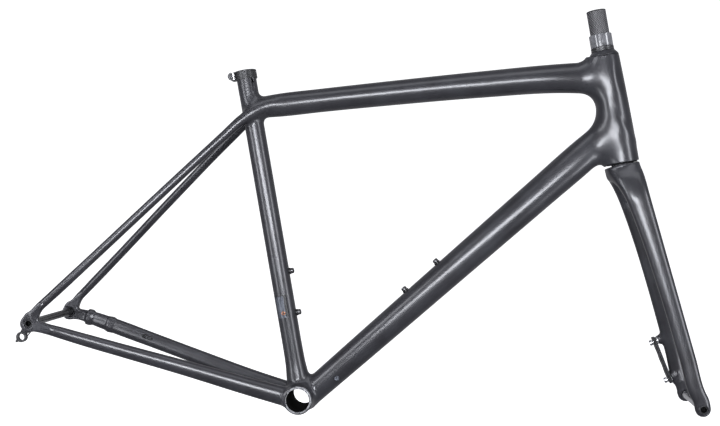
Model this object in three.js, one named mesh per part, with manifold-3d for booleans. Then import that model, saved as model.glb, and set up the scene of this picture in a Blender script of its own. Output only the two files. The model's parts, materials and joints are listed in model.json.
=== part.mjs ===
// Road bicycle frameset for disc brakes: carbon frame, carbon fork, headset, seat clamp,
// derailleur hanger, bottle bosses, front brake adapter plate and both thru axles.
// Millimetres. Origin at the centre of the bottom bracket, +X to the front of the bicycle,
// +Y to the rider's left (the brake side), +Z up, with both wheel axles level.
import * as THREE from 'three';
import { mergeVertices } from 'three/addons/utils/BufferGeometryUtils.js';
import Module from 'manifold-3d';

const wasm = await Module();
wasm.setup();

// ---- driving dimensions --------------------------------------------------------------

const GAP = 0.3; // clearance between pieces that touch
const WALL = 1.6; // carbon laminate thickness

const ANGLE = THREE.MathUtils.degToRad(73.5); // head tube and seat tube, from the ground
const RAKE = Math.PI / 2 - ANGLE;
const STACK = 565;
const REACH = 395;
const BB_DROP = 72;
const CHAINSTAY = 410;

const HEAD_LENGTH = 161;
const HEAD_TOP_R = 22.5;
const HEAD_LOW_R = 25;

const SEAT_TUBE_LENGTH = 505;
const SEAT_TUBE_R = 14.8;
const SEATPOST_R = 13.6;
const CLAMP_HEIGHT = 12.8;
const CLAMP_R = 17;

const BB_WIDTH = 68;
const BB_SHELL_R = 21.8;
const BB_FACE_STEP = 0.4; // the metal sleeve stands proud of the shell
const BB_SLEEVE_R = 20.3;
const BB_BORE_R = 17;

const REAR_SPACING = 142;
const FRONT_SPACING = 100;
const AXLE_R = 6; // 12 mm thru axles
const AXLE_WAIST_R = 4.2;
const AXLE_BORE_R = 3.2;

const STEERER_R = 14.3;
const STEERER_LOW_R = 16.6;
const STEERER_BORE_R = 11.2;
const STEERER_ABOVE = 70; // above the head tube's top edge
const FORK_AXLE_DOWN = 530.7; // along the steering axis, from the head tube's top edge
const FORK_OFFSET = 44;
const CROWN_TOP = 163.2;
const BLADE_TOP = 214;
const BLADE_END = 508;
const BLADE_TOP_Y = 35;
const BLADE_LOW_Y = 57.2;

const BOSS_SPACING = 64; // between the two bolts of a bottle cage
const BOSS_R = 3.5;
const BOSS_DEPTH = 6;
const BOSS_COLLAR_R = 5;
const BOSS_COLLAR = 2.6; // how far the collar stands up
const BOLT_HEAD_R = 4.3;
const SCREW_SHANK_R = 2;
const SCREW_SOCKET_R = 2;
const M5_R = 2.5;

const REAR_BRAKE_SPACING = 37; // between the two threaded blocks
const ADAPTER_SPACING = 62; // between the two pads of the front brake

// ---- materials -----------------------------------------------------------------------

const material = (color, roughness, metalness) => (
  new THREE.MeshStandardMaterial({ color, roughness, metalness })
);
const carbon = () => material(0x45464b, 0.38, 0.15);
const rawCarbon = () => material(0x4d4b4e, 0.55, 0.1);
const glossCarbon = () => material(0x55565a, 0.15, 0.2);
const blackAlloy = () => material(0x1a1a1d, 0.45, 0.6);
const silverAlloy = () => material(0xc9cacc, 0.3, 0.9);
const blackSteel = () => material(0x222226, 0.4, 0.8);
const brightSteel = () => material(0xd2d3d5, 0.25, 1.0);
const polishedSteel = () => material(0xe4e4e6, 0.25, 1.0);
const bearingSteel = () => material(0x9a9b9f, 0.3, 1.0);
const copper = () => material(0xa8683f, 0.45, 0.9);
const blackRubber = () => material(0x18181a, 0.8, 0.0);

// ---- solids --------------------------------------------------------------------------

// A closed geometry as a solid that can be joined and cut.
function solid(geometry) {
  geometry.deleteAttribute('normal');
  geometry.deleteAttribute('uv');
  const merged = mergeVertices(geometry, 1e-4);
  const corners = merged.index.array;
  const triVerts = [];
  for (let i = 0; i < corners.length; i += 3) {
    const [a, b, c] = [corners[i], corners[i + 1], corners[i + 2]];
    if (a !== b && b !== c && c !== a) {
      triVerts.push(a, b, c);
    }
  }
  const vertProperties = new Float32Array(merged.attributes.position.array);
  return new wasm.Manifold(
    new wasm.Mesh({ numProp: 3, vertProperties, triVerts: new Uint32Array(triVerts) }),
  );
}

// A finished solid as a named mesh.
function piece(name, body, look) {
  const { vertProperties, triVerts } = body.getMesh();
  const geometry = new THREE.BufferGeometry();
  geometry.setAttribute('position', new THREE.BufferAttribute(vertProperties, 3));
  geometry.setIndex(new THREE.BufferAttribute(triVerts, 1));
  geometry.computeVertexNormals();
  const mesh = new THREE.Mesh(geometry, look);
  mesh.name = name;
  return mesh;
}

const joined = (...bodies) => bodies.reduce((all, body) => all.add(body));
const cut = (body, ...tools) => tools.reduce((rest, tool) => rest.subtract(tool), body);

// A rod along Z, between two heights.
function rod(radius, low, high, sides = 20, topRadius = radius) {
  const geometry = new THREE.CylinderGeometry(topRadius, radius, high - low, sides);
  geometry.rotateX(Math.PI / 2);
  geometry.translate(0, 0, (low + high) / 2);
  return solid(geometry);
}

// A ring along Z, between two heights.
function ring(inner, outer, low, high, sides = 20) {
  return rod(outer, low, high, sides).subtract(rod(inner, low - 1, high + 1, sides));
}

// A rod along Y at a place in the side view, between two sideways limits.
function crossRod(radius, [x, z], [right, left], sides = 16) {
  const geometry = new THREE.CylinderGeometry(radius, radius, left - right, sides);
  geometry.translate(x, (left + right) / 2, z);
  return solid(geometry);
}

// A rod from one point towards another direction, in the side view's plane.
function sideRod(radius, [x, y, z], angle, [from, to], sides = 12) {
  const geometry = new THREE.CylinderGeometry(radius, radius, to - from, sides);
  geometry.translate(0, (from + to) / 2, 0);
  geometry.rotateZ(-Math.PI / 2);
  geometry.rotateY(-angle);
  geometry.translate(x, y, z);
  return solid(geometry);
}

function block([x0, y0, z0], [x1, y1, z1]) {
  const geometry = new THREE.BoxGeometry(x1 - x0, y1 - y0, z1 - z0);
  geometry.translate((x0 + x1) / 2, (y0 + y1) / 2, (z0 + z1) / 2);
  return solid(geometry);
}

// A flat plate in the side view's plane, between two sideways limits.
function plate(shape, [right, left], curveSegments = 7) {
  const options = { depth: left - right, bevelEnabled: false, curveSegments };
  const geometry = new THREE.ExtrudeGeometry(shape, options);
  geometry.rotateX(Math.PI / 2);
  geometry.translate(0, left, 0);
  return solid(geometry);
}

// The outline of two discs and the straight edges that join them.
function link([ax, az], ra, [bx, bz], rb) {
  const direction = Math.atan2(bz - az, bx - ax);
  const spread = Math.acos((ra - rb) / Math.hypot(bx - ax, bz - az));
  const shape = new THREE.Shape();
  shape.absarc(ax, az, ra, direction + spread, direction - spread + 2 * Math.PI, false);
  shape.absarc(bx, bz, rb, direction - spread, direction + spread, false);
  return shape;
}

// A closed bar along a smooth curve. Each station gives a centre point, the half height
// in the side view and the half width across it.
function bar(stations, sides = 16, rings = 2 * (stations.length - 1)) {
  const spine = new THREE.CatmullRomCurve3(stations.map(([at]) => new THREE.Vector3(...at)));
  const sizes = new THREE.CatmullRomCurve3(
    stations.map(([, high, wide], i) => new THREE.Vector3(high, wide, 100 * i)),
  );
  const geometry = new THREE.CylinderGeometry(1, 1, 1, sides, rings);
  const position = geometry.attributes.position;
  for (let i = 0; i < position.count; i += 1) {
    const along = position.getY(i) + 0.5;
    const tangent = spine.getTangent(along);
    const across = new THREE.Vector3(0, 1, 0).addScaledVector(tangent, -tangent.y).normalize();
    const upright = across.clone().cross(tangent);
    const size = sizes.getPoint(along);
    const point = spine.getPoint(along);
    point.addScaledVector(across, position.getX(i) * size.y);
    point.addScaledVector(upright, position.getZ(i) * size.x);
    position.setXYZ(i, point.x, point.y, point.z);
  }
  return solid(geometry);
}

// A hollow bar, open at both ends.
function tube(stations, sides = 16, wall = WALL) {
  const last = stations.length - 1;
  const inner = stations.map(([at, high, wide], i) => {
    const centre = new THREE.Vector3(...at);
    if (i === 0 || i === last) {
      const beyond = new THREE.Vector3(...stations[i === 0 ? 1 : last - 1][0]);
      centre.add(centre.clone().sub(beyond).setLength(1));
    }
    return [centre.toArray(), high - wall, wide - wall];
  });
  return bar(stations, sides).subtract(bar(inner, sides));
}

// The largest of a solid's separate bodies, which leaves trimmed ends behind.
function mainBody(body) {
  return body.decompose().reduce((best, next) => (next.volume() > best.volume() ? next : best));
}

const mirrored = (body) => body.mirror([0, 1, 0]);

// ---- the two raked axes --------------------------------------------------------------

const headTop = new THREE.Vector3(REACH, 0, STACK);

// Parts on the steering axis lie in a group of their own, with Z up that axis and the
// top edge of the head tube at zero. Parts on the seat tube's axis lie in another, with
// the bottom bracket at zero.
const steering = new THREE.Group();
steering.position.copy(headTop);
steering.rotation.y = -RAKE;
steering.updateMatrix();

const seating = new THREE.Group();
seating.rotation.y = -RAKE;
seating.updateMatrix();

const onSteeringAxis = (body) => body.transform(steering.matrix.elements);
const onSeatAxis = (body) => body.transform(seating.matrix.elements);

const rearAxle = [-Math.sqrt(CHAINSTAY ** 2 - BB_DROP ** 2), BB_DROP];

const frame = new THREE.Group();
frame.add(steering, seating);

// ---- head tube, headset and steerer --------------------------------------------------

const BEARING_HEIGHT = 6.5;
const UPPER_SEAT = 8;
const LOWER_SEAT = 9;

function headTube() {
  const outer = rod(HEAD_LOW_R, -HEAD_LENGTH, 0, 24, HEAD_TOP_R);
  const waist = rod(20, -HEAD_LENGTH, 1, 20, 18.8);
  const upperSeat = rod(21.2, -UPPER_SEAT, 1, 24);
  const lowerSeat = rod(23.6, -HEAD_LENGTH - 1, -HEAD_LENGTH + LOWER_SEAT, 24);
  return cut(outer, waist, upperSeat, lowerSeat);
}
const headSolid = onSteeringAxis(rod(HEAD_LOW_R + GAP, -HEAD_LENGTH - 2, 2, 24, HEAD_TOP_R + GAP));
steering.add(piece('head_tube', headTube(), carbon()));

// A cartridge bearing is two races with a ring of balls and its cage between them. The
// outer race stays in the head tube; the cage turns inside it with room to spare.
function bearing(name, inner, outer, low) {
  const step = (outer - inner) / 3;
  const high = low + BEARING_HEIGHT;
  const rings = {
    inner_race: [ring(inner, inner + step - GAP, low, high, 16), bearingSteel()],
    ball_ring: [ring(inner + step, outer - step, low + 1, high - 1, 16), brightSteel()],
    outer_race: [ring(outer - step + 2 * GAP, outer, low, high, 16), bearingSteel()],
  };
  for (const [part, [body, look]] of Object.entries(rings)) {
    steering.add(piece(`${name}_${part}`, body, look));
  }
}
bearing('upper_bearing', 15.2, 20.8, -1 - BEARING_HEIGHT);
bearing('lower_bearing', 17.3, 23.2, 1 - HEAD_LENGTH);

const CAP_HEIGHT = 8;
const THIN_SPACER = 6;
const COLLAR_HEIGHT = 19;
const SPACER_BORE_R = STEERER_R + 2 * GAP;
const SPACER_R = 17.2;
const COLLAR_R = 16.9;

function headsetCap() {
  const outer = rod(HEAD_TOP_R, GAP, CAP_HEIGHT, 24, CLAMP_R + 1);
  const room = rod(19.6, 0, 4.6);
  return cut(outer, room, rod(SPACER_BORE_R, 0, CAP_HEIGHT + 1));
}
steering.add(
  piece('compression_ring', ring(SPACER_BORE_R, 19, -0.7, 4.2), silverAlloy()),
  piece('headset_cap', headsetCap(), carbon()),
);
const thinSpacerLow = CAP_HEIGHT + GAP;
const collarLow = thinSpacerLow + THIN_SPACER + GAP;
steering.add(
  piece('thin_spacer', ring(SPACER_BORE_R, SPACER_R, thinSpacerLow, collarLow - GAP), blackAlloy()),
  piece(
    'steerer_collar',
    ring(SPACER_BORE_R, COLLAR_R, collarLow, collarLow + COLLAR_HEIGHT),
    glossCarbon(),
  ),
);

const TAPER_START = 110;
const TAPER_END = 145;

function steererTube() {
  const straight = rod(STEERER_R, -TAPER_START, STEERER_ABOVE);
  const taper = rod(STEERER_LOW_R, -TAPER_END, -TAPER_START, 20, STEERER_R);
  const foot = rod(STEERER_LOW_R, GAP - CROWN_TOP, -TAPER_END);
  const bore = rod(STEERER_BORE_R, -CROWN_TOP - 1, STEERER_ABOVE + 1);
  return joined(straight, taper, foot).subtract(bore);
}
steering.add(
  piece('steerer_tube', steererTube(), rawCarbon()),
  piece('crown_race', ring(STEERER_LOW_R + 2 * GAP, 22.6, GAP - CROWN_TOP, 0.7 - HEAD_LENGTH),
    blackAlloy()),
);

// ---- fork ----------------------------------------------------------------------------

const forkAxle = [FORK_OFFSET, -FORK_AXLE_DOWN];

// Front and rear edges of a blade at a distance down the steering axis.
const bladeFront = (down) => 26.1 + 0.0885 * (down - 220);
const bladeDepth = (down) => 22.2 + 12 * Math.exp((220 - down) / 95);
const bladeY = (down) => (
  THREE.MathUtils.mapLinear(down, BLADE_TOP, BLADE_END, BLADE_TOP_Y, BLADE_LOW_Y)
);
const bladeHalfWidth = (down) => (
  THREE.MathUtils.mapLinear(down, BLADE_TOP, BLADE_END, 10.5, 6.8)
);

function bladeStation(down) {
  const depth = bladeDepth(down);
  return [[bladeFront(down) - depth / 2, -bladeY(down), -down], depth / 2, bladeHalfWidth(down)];
}
const BLADE_STATIONS = [BLADE_TOP - 4, 290, 390, BLADE_END];

// The crown spreads from the round race seat into the two shoulders, with an arch for
// the tyre between them.
const ARCH_TOP = 186;
const ARCH_HALF_WIDTH = 24;

function forkCrown() {
  const seat = bar([
    [[-2.5, 0, -CROWN_TOP], 25.5, 24.5],
    [[-2.8, 0, -175], 26, 25.5],
    [[0, 0, -ARCH_TOP - 16], 25, 24],
  ], 20, 3);
  const shoulder = bar([
    [[-2, -10, -CROWN_TOP - 3], 24, 14],
    [[0, -22, -183], 24.5, 18],
    [[6.5, -31.5, -202], 19.6, 13],
    bladeStation(BLADE_TOP),
  ], 16, 5);
  const underside = ARCH_TOP + ARCH_HALF_WIDTH;
  const arch = new THREE.CylinderGeometry(ARCH_HALF_WIDTH, ARCH_HALF_WIDTH, 120, 20);
  arch.rotateZ(Math.PI / 2);
  arch.translate(0, 0, -underside);
  const gapBelow = block([-60, -ARCH_HALF_WIDTH, -260], [60, ARCH_HALF_WIDTH, -underside]);
  const aboveSeat = block([-60, -60, -CROWN_TOP], [60, 60, -CROWN_TOP + 40]);
  const belowBlades = block([-60, -60, -260], [60, 60, -BLADE_TOP]);
  const steererHole = rod(7, -220, -150, 16);
  return cut(
    joined(seat, shoulder, mirrored(shoulder)),
    solid(arch), gapBelow, aboveSeat, belowBlades, steererHole,
  );
}
steering.add(piece('fork_crown', forkCrown(), carbon()));

// The dropout is a solid end with the axle's hole; its upper part closes the blade.
const FORK_END_R = 11.2;
const frontInner = FRONT_SPACING / 2;
const frontOuter = frontInner + 14;

function forkDropout(holeRadius) {
  const top = [bladeFront(BLADE_END) - 11.3, -BLADE_END + 14];
  const outline = link(forkAxle, FORK_END_R, top, FORK_END_R);
  const body = plate(outline, [-frontOuter, -frontInner], 8);
  return body.subtract(crossRod(holeRadius, forkAxle, [-frontOuter - 1, -frontInner + 1]));
}
const forkDropoutSpace = plate(
  link(forkAxle, FORK_END_R + 4, [bladeFront(BLADE_END) - 11.3, -BLADE_END + 14], FORK_END_R + GAP),
  [-frontOuter - 5, -frontInner + 5],
  8,
);
const aboveBlade = block([-60, -80, -BLADE_TOP - GAP], [60, 80, 0]);
const blade = mainBody(cut(
  tube(BLADE_STATIONS.map(bladeStation), 16, 2),
  aboveBlade,
  forkDropoutSpace,
));

// Two pads on the back of the left blade carry the brake adapter plate.
const adapterSlope = Math.atan2(12.3, 60.4); // the pads' line against the steering axis
const adapterCentre = new THREE.Vector3(17.4, 57, -473.3);
const PAD_R = 6.2;

const padAt = (along) => [
  adapterCentre.x + along * Math.sin(adapterSlope),
  adapterCentre.y,
  adapterCentre.z - along * Math.cos(adapterSlope),
];
const adapterBolts = [-ADAPTER_SPACING / 2, ADAPTER_SPACING / 2].map(padAt);
const ADAPTER_THICK = 5;
const ADAPTER_WIDTH = 20;
const ADAPTER_END = 6; // beyond each bolt
const ADAPTER_SEAT = 0.8; // the raised seat for the brake, between the bolts
const PAD_DEPTH = 12;
const adapterNormal = Math.PI + adapterSlope; // pointing to the rear

function brakePad(at) {
  const body = sideRod(PAD_R, at, adapterNormal, [-PAD_DEPTH, -ADAPTER_THICK / 2 - GAP], 16);
  const thread = sideRod(M5_R, at, adapterNormal, [-9, 0]);
  return body.subtract(thread);
}
const padSpaces = adapterBolts.map((at) => (
  sideRod(PAD_R + GAP, at, adapterNormal, [-PAD_DEPTH - GAP, 0], 16)
));

steering.add(
  piece('fork_blade_right', blade, carbon()),
  piece('fork_blade_left', mainBody(cut(mirrored(blade), ...padSpaces)), carbon()),
  piece('fork_dropout_right', forkDropout(AXLE_R + GAP), carbon()),
  piece(
    'fork_dropout_left',
    mainBody(cut(mirrored(forkDropout(AXLE_R + GAP)), ...padSpaces)),
    carbon(),
  ),
);
adapterBolts.forEach((at, i) => {
  const name = ['upper', 'lower'][i];
  steering.add(piece(`front_brake_pad_${name}`, brakePad(at), silverAlloy()));
});

function brakeAdapter() {
  const half = ADAPTER_SPACING / 2 + ADAPTER_END;
  const geometry = new THREE.BoxGeometry(ADAPTER_THICK, ADAPTER_WIDTH, 2 * half);
  geometry.rotateY(-adapterSlope);
  geometry.translate(...adapterCentre);
  const seat = new THREE.BoxGeometry(
    ADAPTER_THICK + ADAPTER_SEAT, ADAPTER_WIDTH - 4, 2 * half - 30,
  );
  seat.translate(-ADAPTER_SEAT / 2, 0, 0);
  seat.rotateY(-adapterSlope);
  seat.translate(...adapterCentre);
  const holes = adapterBolts.map((at) => sideRod(M5_R + 0.4, at, adapterNormal, [-8, 8]));
  return cut(joined(solid(geometry), solid(seat)), ...holes);
}
steering.add(piece('brake_adapter', brakeAdapter(), blackAlloy()));

adapterBolts.forEach((at, i) => {
  const name = ['upper', 'lower'][i];
  const shank = sideRod(SCREW_SHANK_R, at, adapterNormal, [-8, ADAPTER_THICK / 2 + 1], 10);
  const head = sideRod(
    BOLT_HEAD_R, at, adapterNormal, [ADAPTER_THICK / 2 + GAP, ADAPTER_THICK / 2 + 4.5],
  );
  const socket = sideRod(
    SCREW_SOCKET_R, at, adapterNormal, [ADAPTER_THICK / 2 + 2.5, ADAPTER_THICK / 2 + 6], 6,
  );
  steering.add(piece(`adapter_bolt_${name}`, joined(shank, head).subtract(socket), brightSteel()));
});

// ---- seat tube and clamp -------------------------------------------------------------

const SLOT_WIDTH = 2.4;
const SLOT_LENGTH = CLAMP_HEIGHT + 6;

function seatTubeOutside(extra = 0) {
  const straight = rod(SEAT_TUBE_R + extra, 38, SEAT_TUBE_LENGTH + extra);
  const foot = rod(18.5 + extra, 0, 38, 20, SEAT_TUBE_R + extra);
  return straight.add(foot);
}
const seatTubeSolid = seatTubeOutside(GAP);

// A slot through one wall, on the front right, lets the clamp close the tube.
function clampSlot() {
  const slot = new THREE.BoxGeometry(30, SLOT_WIDTH, SLOT_LENGTH + 2);
  slot.translate(15, 0, SEAT_TUBE_LENGTH - SLOT_LENGTH / 2);
  slot.rotateZ(-Math.PI / 4);
  return solid(slot);
}

const bossUp = [128, 128 + BOSS_SPACING];

// ---- bottom bracket ------------------------------------------------------------------

const shellSpace = crossRod(BB_SHELL_R + GAP, [0, 0], [-40, 40], 24);
const shellOuter = crossRod(
  BB_SHELL_R, [0, 0], [BB_FACE_STEP - BB_WIDTH / 2, BB_WIDTH / 2 - BB_FACE_STEP], 24,
);
const sleeveSpace = crossRod(BB_SLEEVE_R + GAP, [0, 0], [-40, 40], 24);
const sleeve = cut(
  crossRod(BB_SLEEVE_R, [0, 0], [-BB_WIDTH / 2, BB_WIDTH / 2], 24),
  crossRod(BB_BORE_R, [0, 0], [-40, 40], 24),
);
frame.add(
  piece('bottom_bracket_shell', shellOuter.subtract(sleeveSpace), carbon()),
  piece('bottom_bracket_sleeve', sleeve, silverAlloy()),
);

// ---- top tube and down tube ----------------------------------------------------------

const topTubeStations = [
  [[-144, 0, 425], 17.5, 16],
  [[66, 0, 472.2], 18.4, 19],
  [[240, 0, 508], 20, 20],
  [[345, 0, 526.4], 22.6, 20.5],
  [[398, 0, 530.5], 31, 21.5],
];

// The down tube's direction, and the place of its centre at a distance from the bottom
// bracket: it drops slightly forward as it thickens.
const downDirection = new THREE.Vector2(0.663, 0.7486);
const downDrop = (along) => 5.6 + 0.0092 * along;
const downRadius = (along) => 19.4 + 0.0088 * along;
const downCentre = (along) => [
  downDirection.x * along + downDirection.y * downDrop(along),
  0,
  downDirection.y * along - downDirection.x * downDrop(along),
];
const downTubeStations = [0, 300, 626].map((along) => (
  [downCentre(along), downRadius(along), downRadius(along)]
));

const topTubeSolid = bar(
  topTubeStations.map(([at, high, wide]) => [at, high + GAP, wide + GAP]),
);
const downTubeSolid = bar(
  downTubeStations.map(([at, high, wide]) => [at, high + GAP, wide + GAP]),
);

// Bottle bosses sit on top of the down tube and on the front of the seat tube.
const downBossAlong = [228, 228 + BOSS_SPACING];
const downBossAngle = Math.atan2(downDirection.x, -downDirection.y);
const downBosses = downBossAlong.map((along) => {
  const [x, y, z] = downCentre(along);
  const radius = downRadius(along);
  return [x - downDirection.y * radius, y, z + downDirection.x * radius];
});
const bossHole = (at, angle) => sideRod(BOSS_R + GAP, at, angle, [-8, 8]);

function bossInsert(at, angle) {
  const collar = sideRod(BOSS_COLLAR_R, at, angle, [GAP, BOSS_COLLAR]);
  const shank = sideRod(BOSS_R, at, angle, [-BOSS_DEPTH, GAP + 0.5]);
  return joined(collar, shank).subtract(sideRod(M5_R, at, angle, [-10, 10], 10));
}

function bossBolt(at, angle) {
  const head = sideRod(BOLT_HEAD_R, at, angle, [BOSS_COLLAR + GAP, BOSS_COLLAR + 4.8]);
  const shank = sideRod(SCREW_SHANK_R, at, angle, [-BOSS_DEPTH, BOSS_COLLAR + 1], 10);
  const socket = sideRod(SCREW_SOCKET_R + 0.1, at, angle, [BOSS_COLLAR + 2.6, BOSS_COLLAR + 8], 6);
  return joined(head, shank).subtract(socket);
}

const PORT_AT = [53, 38]; // a blanked cable port low on the right of the down tube
const PORT_R = 3.6;

const topTube = mainBody(cut(
  tube(topTubeStations),
  headSolid,
  onSeatAxis(seatTubeSolid),
));
const downTube = mainBody(cut(
  tube(downTubeStations),
  headSolid,
  topTubeSolid,
  shellSpace,
  onSeatAxis(seatTubeSolid),
  ...downBosses.map((at) => bossHole(at, downBossAngle)),
  crossRod(PORT_R + GAP, PORT_AT, [-40, -10]),
));
frame.add(
  piece('top_tube', topTube, carbon()),
  piece('down_tube', downTube, carbon()),
  piece('cable_port_plug', crossRod(PORT_R, PORT_AT, [-20.4, -16]), blackRubber()),
);
downBosses.forEach((at, i) => {
  const name = `down_tube_${['lower', 'upper'][i]}`;
  frame.add(
    piece(`${name}_boss`, bossInsert(at, downBossAngle), blackAlloy()),
    piece(`${name}_bolt`, bossBolt(at, downBossAngle), blackSteel()),
  );
});

const seatBosses = bossUp.map((up) => [SEAT_TUBE_R, 0, up]);
const derailleurScrewAt = [-2, 131];
const seatTube = cut(
  seatTubeOutside(),
  rod(SEATPOST_R, 37, SEAT_TUBE_LENGTH + 1),
  rod(17, -1, 38, 20, SEATPOST_R),
  clampSlot(),
  ...seatBosses.map((at) => bossHole(at, 0)),
  crossRod(2.6, derailleurScrewAt, [-20, -5], 12),
  shellSpace.transform(seating.matrix.clone().invert().elements),
);
seating.add(piece('seat_tube', mainBody(seatTube), carbon()));
seatBosses.forEach((at, i) => {
  const name = `seat_tube_${['lower', 'upper'][i]}`;
  seating.add(
    piece(`${name}_boss`, bossInsert(at, 0), blackAlloy()),
    piece(`${name}_bolt`, bossBolt(at, 0), blackSteel()),
  );
});

// The seat clamp is a split band with two ears behind the tube; a bolt across the ears
// draws them together against a barrel nut.
const EAR_AT = [-20, SEAT_TUBE_LENGTH - 5.5];
const EAR_R = 6;
const EAR_SPLIT = 1.6;
const EAR_OUTER = 11;
const EAR_SEAT_R = 4.8; // the pockets for the bolt head and the nut

function seatClamp() {
  const low = SEAT_TUBE_LENGTH - CLAMP_HEIGHT;
  const band = rod(CLAMP_R, low, SEAT_TUBE_LENGTH + 0.6, 24);
  const ears = crossRod(EAR_R, EAR_AT, [-EAR_OUTER, EAR_OUTER]);
  const split = block([-40, -EAR_SPLIT, 0], [-10, EAR_SPLIT, SEAT_TUBE_LENGTH + 20]);
  const bore = rod(SEAT_TUBE_R + GAP, low - 20, SEAT_TUBE_LENGTH + 20);
  const hole = crossRod(2.9, EAR_AT, [-20, 20], 12);
  const nutSeat = crossRod(EAR_SEAT_R, EAR_AT, [6.5, 20], 14);
  const headSeat = crossRod(EAR_SEAT_R, EAR_AT, [-20, -8], 14);
  return cut(joined(band, ears), split, bore, hole, nutSeat, headSeat);
}

function clampBolt() {
  const head = crossRod(BOLT_HEAD_R, EAR_AT, [-EAR_OUTER - 1, -8.4], 14);
  const shank = crossRod(2.2, EAR_AT, [-9, 9], 10);
  const socket = crossRod(SCREW_SOCKET_R, EAR_AT, [-20, -10], 6);
  return joined(head, shank).subtract(socket);
}
const clampNut = crossRod(BOLT_HEAD_R, EAR_AT, [6.8, EAR_OUTER - 0.5], 14)
  .subtract(crossRod(2.7, EAR_AT, [0, 20], 10));

// The front derailleur's bracket hugs the right of the seat tube, with one screw showing.
const BRACKET_LOW = 124;
const BRACKET_HIGH = 158;

function derailleurBracket() {
  const shell = ring(SEAT_TUBE_R + GAP, SEAT_TUBE_R + 2, BRACKET_LOW, BRACKET_HIGH);
  const side = block([-11, -30, 0], [6.5, -1, 300]);
  const rail = block([3.2, -SEAT_TUBE_R - 3.4, BRACKET_LOW + 2], [6.4, -12, BRACKET_HIGH]);
  const outside = rod(SEAT_TUBE_R + GAP, BRACKET_LOW - 5, BRACKET_HIGH + 5);
  const hole = crossRod(2.6, derailleurScrewAt, [-30, 0], 12);
  return cut(joined(shell.intersect(side), rail), outside, hole);
}
const derailleurScrew = joined(
  crossRod(2.9, derailleurScrewAt, [-SEAT_TUBE_R - 3.4, -SEAT_TUBE_R - 2.1], 12),
  crossRod(2.2, derailleurScrewAt, [-SEAT_TUBE_R - 3, -10], 10),
);
seating.add(
  piece('seat_clamp', seatClamp(), blackAlloy()),
  piece('seat_clamp_bolt', clampBolt(), blackSteel()),
  piece('seat_clamp_nut', clampNut, silverAlloy()),
  piece('front_derailleur_bracket', derailleurBracket(), blackAlloy()),
  piece('front_derailleur_screw', derailleurScrew, copper()),
);

// ---- stays ---------------------------------------------------------------------------

const SEATSTAY_R = 6.6;
const STAY_WALL = 1.4;

// Both stays are given for the right side of the frame; the left ones mirror them.
const seatstayStations = [
  [[-128, -15, 421], 9, 8],
  [[-248, -42, 273.6], SEATSTAY_R, SEATSTAY_R],
  [[-328, -62.5, 174.6], SEATSTAY_R, SEATSTAY_R],
  [[-393, -76.5, 95.5], SEATSTAY_R, SEATSTAY_R - 0.2],
];

// Chainstay centre line, falling forward to the bottom bracket. The brake side is deeper
// towards the rear, and most of the extra depth is on top.
const CHAINSTAY_FALL = 0.19;
const chainstayZ = (x) => 3.2 - CHAINSTAY_FALL * (x + 39);
const chainstayAt = (x, y, half, width, lift = 0) => (
  [[x, -y, chainstayZ(x) + lift], half, width]
);
const chainstayStations = (extra) => [
  chainstayAt(-4, 19.5, 15, 11),
  chainstayAt(-106, 33.5, 12.6, 9),
  chainstayAt(-240, 57, 10.2 + 0.7 * extra, 7.8, 0.35 * extra),
  chainstayAt(-384, 77, 8.2 + extra, 6.8, 0.5 * extra),
];

const DISC_SIDE_EXTRA = 2.6;

// Rear brake: two threaded blocks stand through the left chainstay, with flat tops.
const brakeBlockX = [-332, -332 - REAR_BRAKE_SPACING];
const chainstaySlope = Math.atan(CHAINSTAY_FALL);
const BLOCK_R = 5.2;
const BLOCK_HALF_HEIGHT = 12.3;

function brakeBlock(x, grow = 0) {
  const centreZ = chainstayZ(x) + DISC_SIDE_EXTRA / 2;
  const y = THREE.MathUtils.mapLinear(x, -325, -384, 71, 77);
  const height = 2 * BLOCK_HALF_HEIGHT + 20 * grow;
  const geometry = new THREE.CylinderGeometry(BLOCK_R + grow, BLOCK_R + grow, height, 14);
  geometry.rotateX(Math.PI / 2);
  geometry.rotateY(chainstaySlope);
  geometry.translate(x, y, centreZ);
  return [solid(geometry), [x, y, centreZ]];
}

function brakeBlockThread(x) {
  const [, [, y, z]] = brakeBlock(x);
  return sideRod(M5_R, [x, y, z], Math.PI / 2 - chainstaySlope, [-30, 30]);
}

// ---- rear dropouts and hanger --------------------------------------------------------

const [axleX, axleZ] = rearAxle;
const nearAxle = (x, z) => [axleX + x, axleZ + z];
const rearInner = REAR_SPACING / 2;
const DROPOUT_THICK = 6.5;
const DROPOUT_R = 11.4;
const HANGER_THICK = 3.4;
const rightPlate = [-rearInner - HANGER_THICK - GAP - DROPOUT_THICK, -rearInner - HANGER_THICK - GAP];
const leftPlate = [rearInner, rearInner + HANGER_THICK + DROPOUT_THICK];

function dropoutOutline(between, grow = 0) {
  const seatstayEnd = nearAxle(13.6, 27.4);
  const chainstayEnd = nearAxle(34, -6.2);
  const arms = [
    plate(link(nearAxle(0, 0), DROPOUT_R + grow, seatstayEnd, 5.6 + grow), between),
    plate(link(nearAxle(0, 0), DROPOUT_R + grow, chainstayEnd, 7.4 + grow), between),
    plate(link(nearAxle(0, 0), DROPOUT_R + grow, nearAxle(-3.5, 11), 8 + grow), between),
  ];
  return joined(...arms);
}

const hangerScrewAt = nearAxle(17.2, -3);
const hangerEyeAt = nearAxle(-9.6, -21.6);
const HANGER_EYE_R = 7.8;
const HANGER_HOLE_R = 4.8;

const axleHole = (radius, between) => crossRod(radius, rearAxle, between);

function rightDropout() {
  const [right, left] = rightPlate;
  return cut(
    dropoutOutline(rightPlate),
    axleHole(AXLE_R + GAP, [right - 1, left + 1]),
    crossRod(2.5, hangerScrewAt, [right - 1, left + 1], 12),
    crossRod(4.2, hangerScrewAt, [right - 1, right + 2.6], 12),
  );
}

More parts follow.
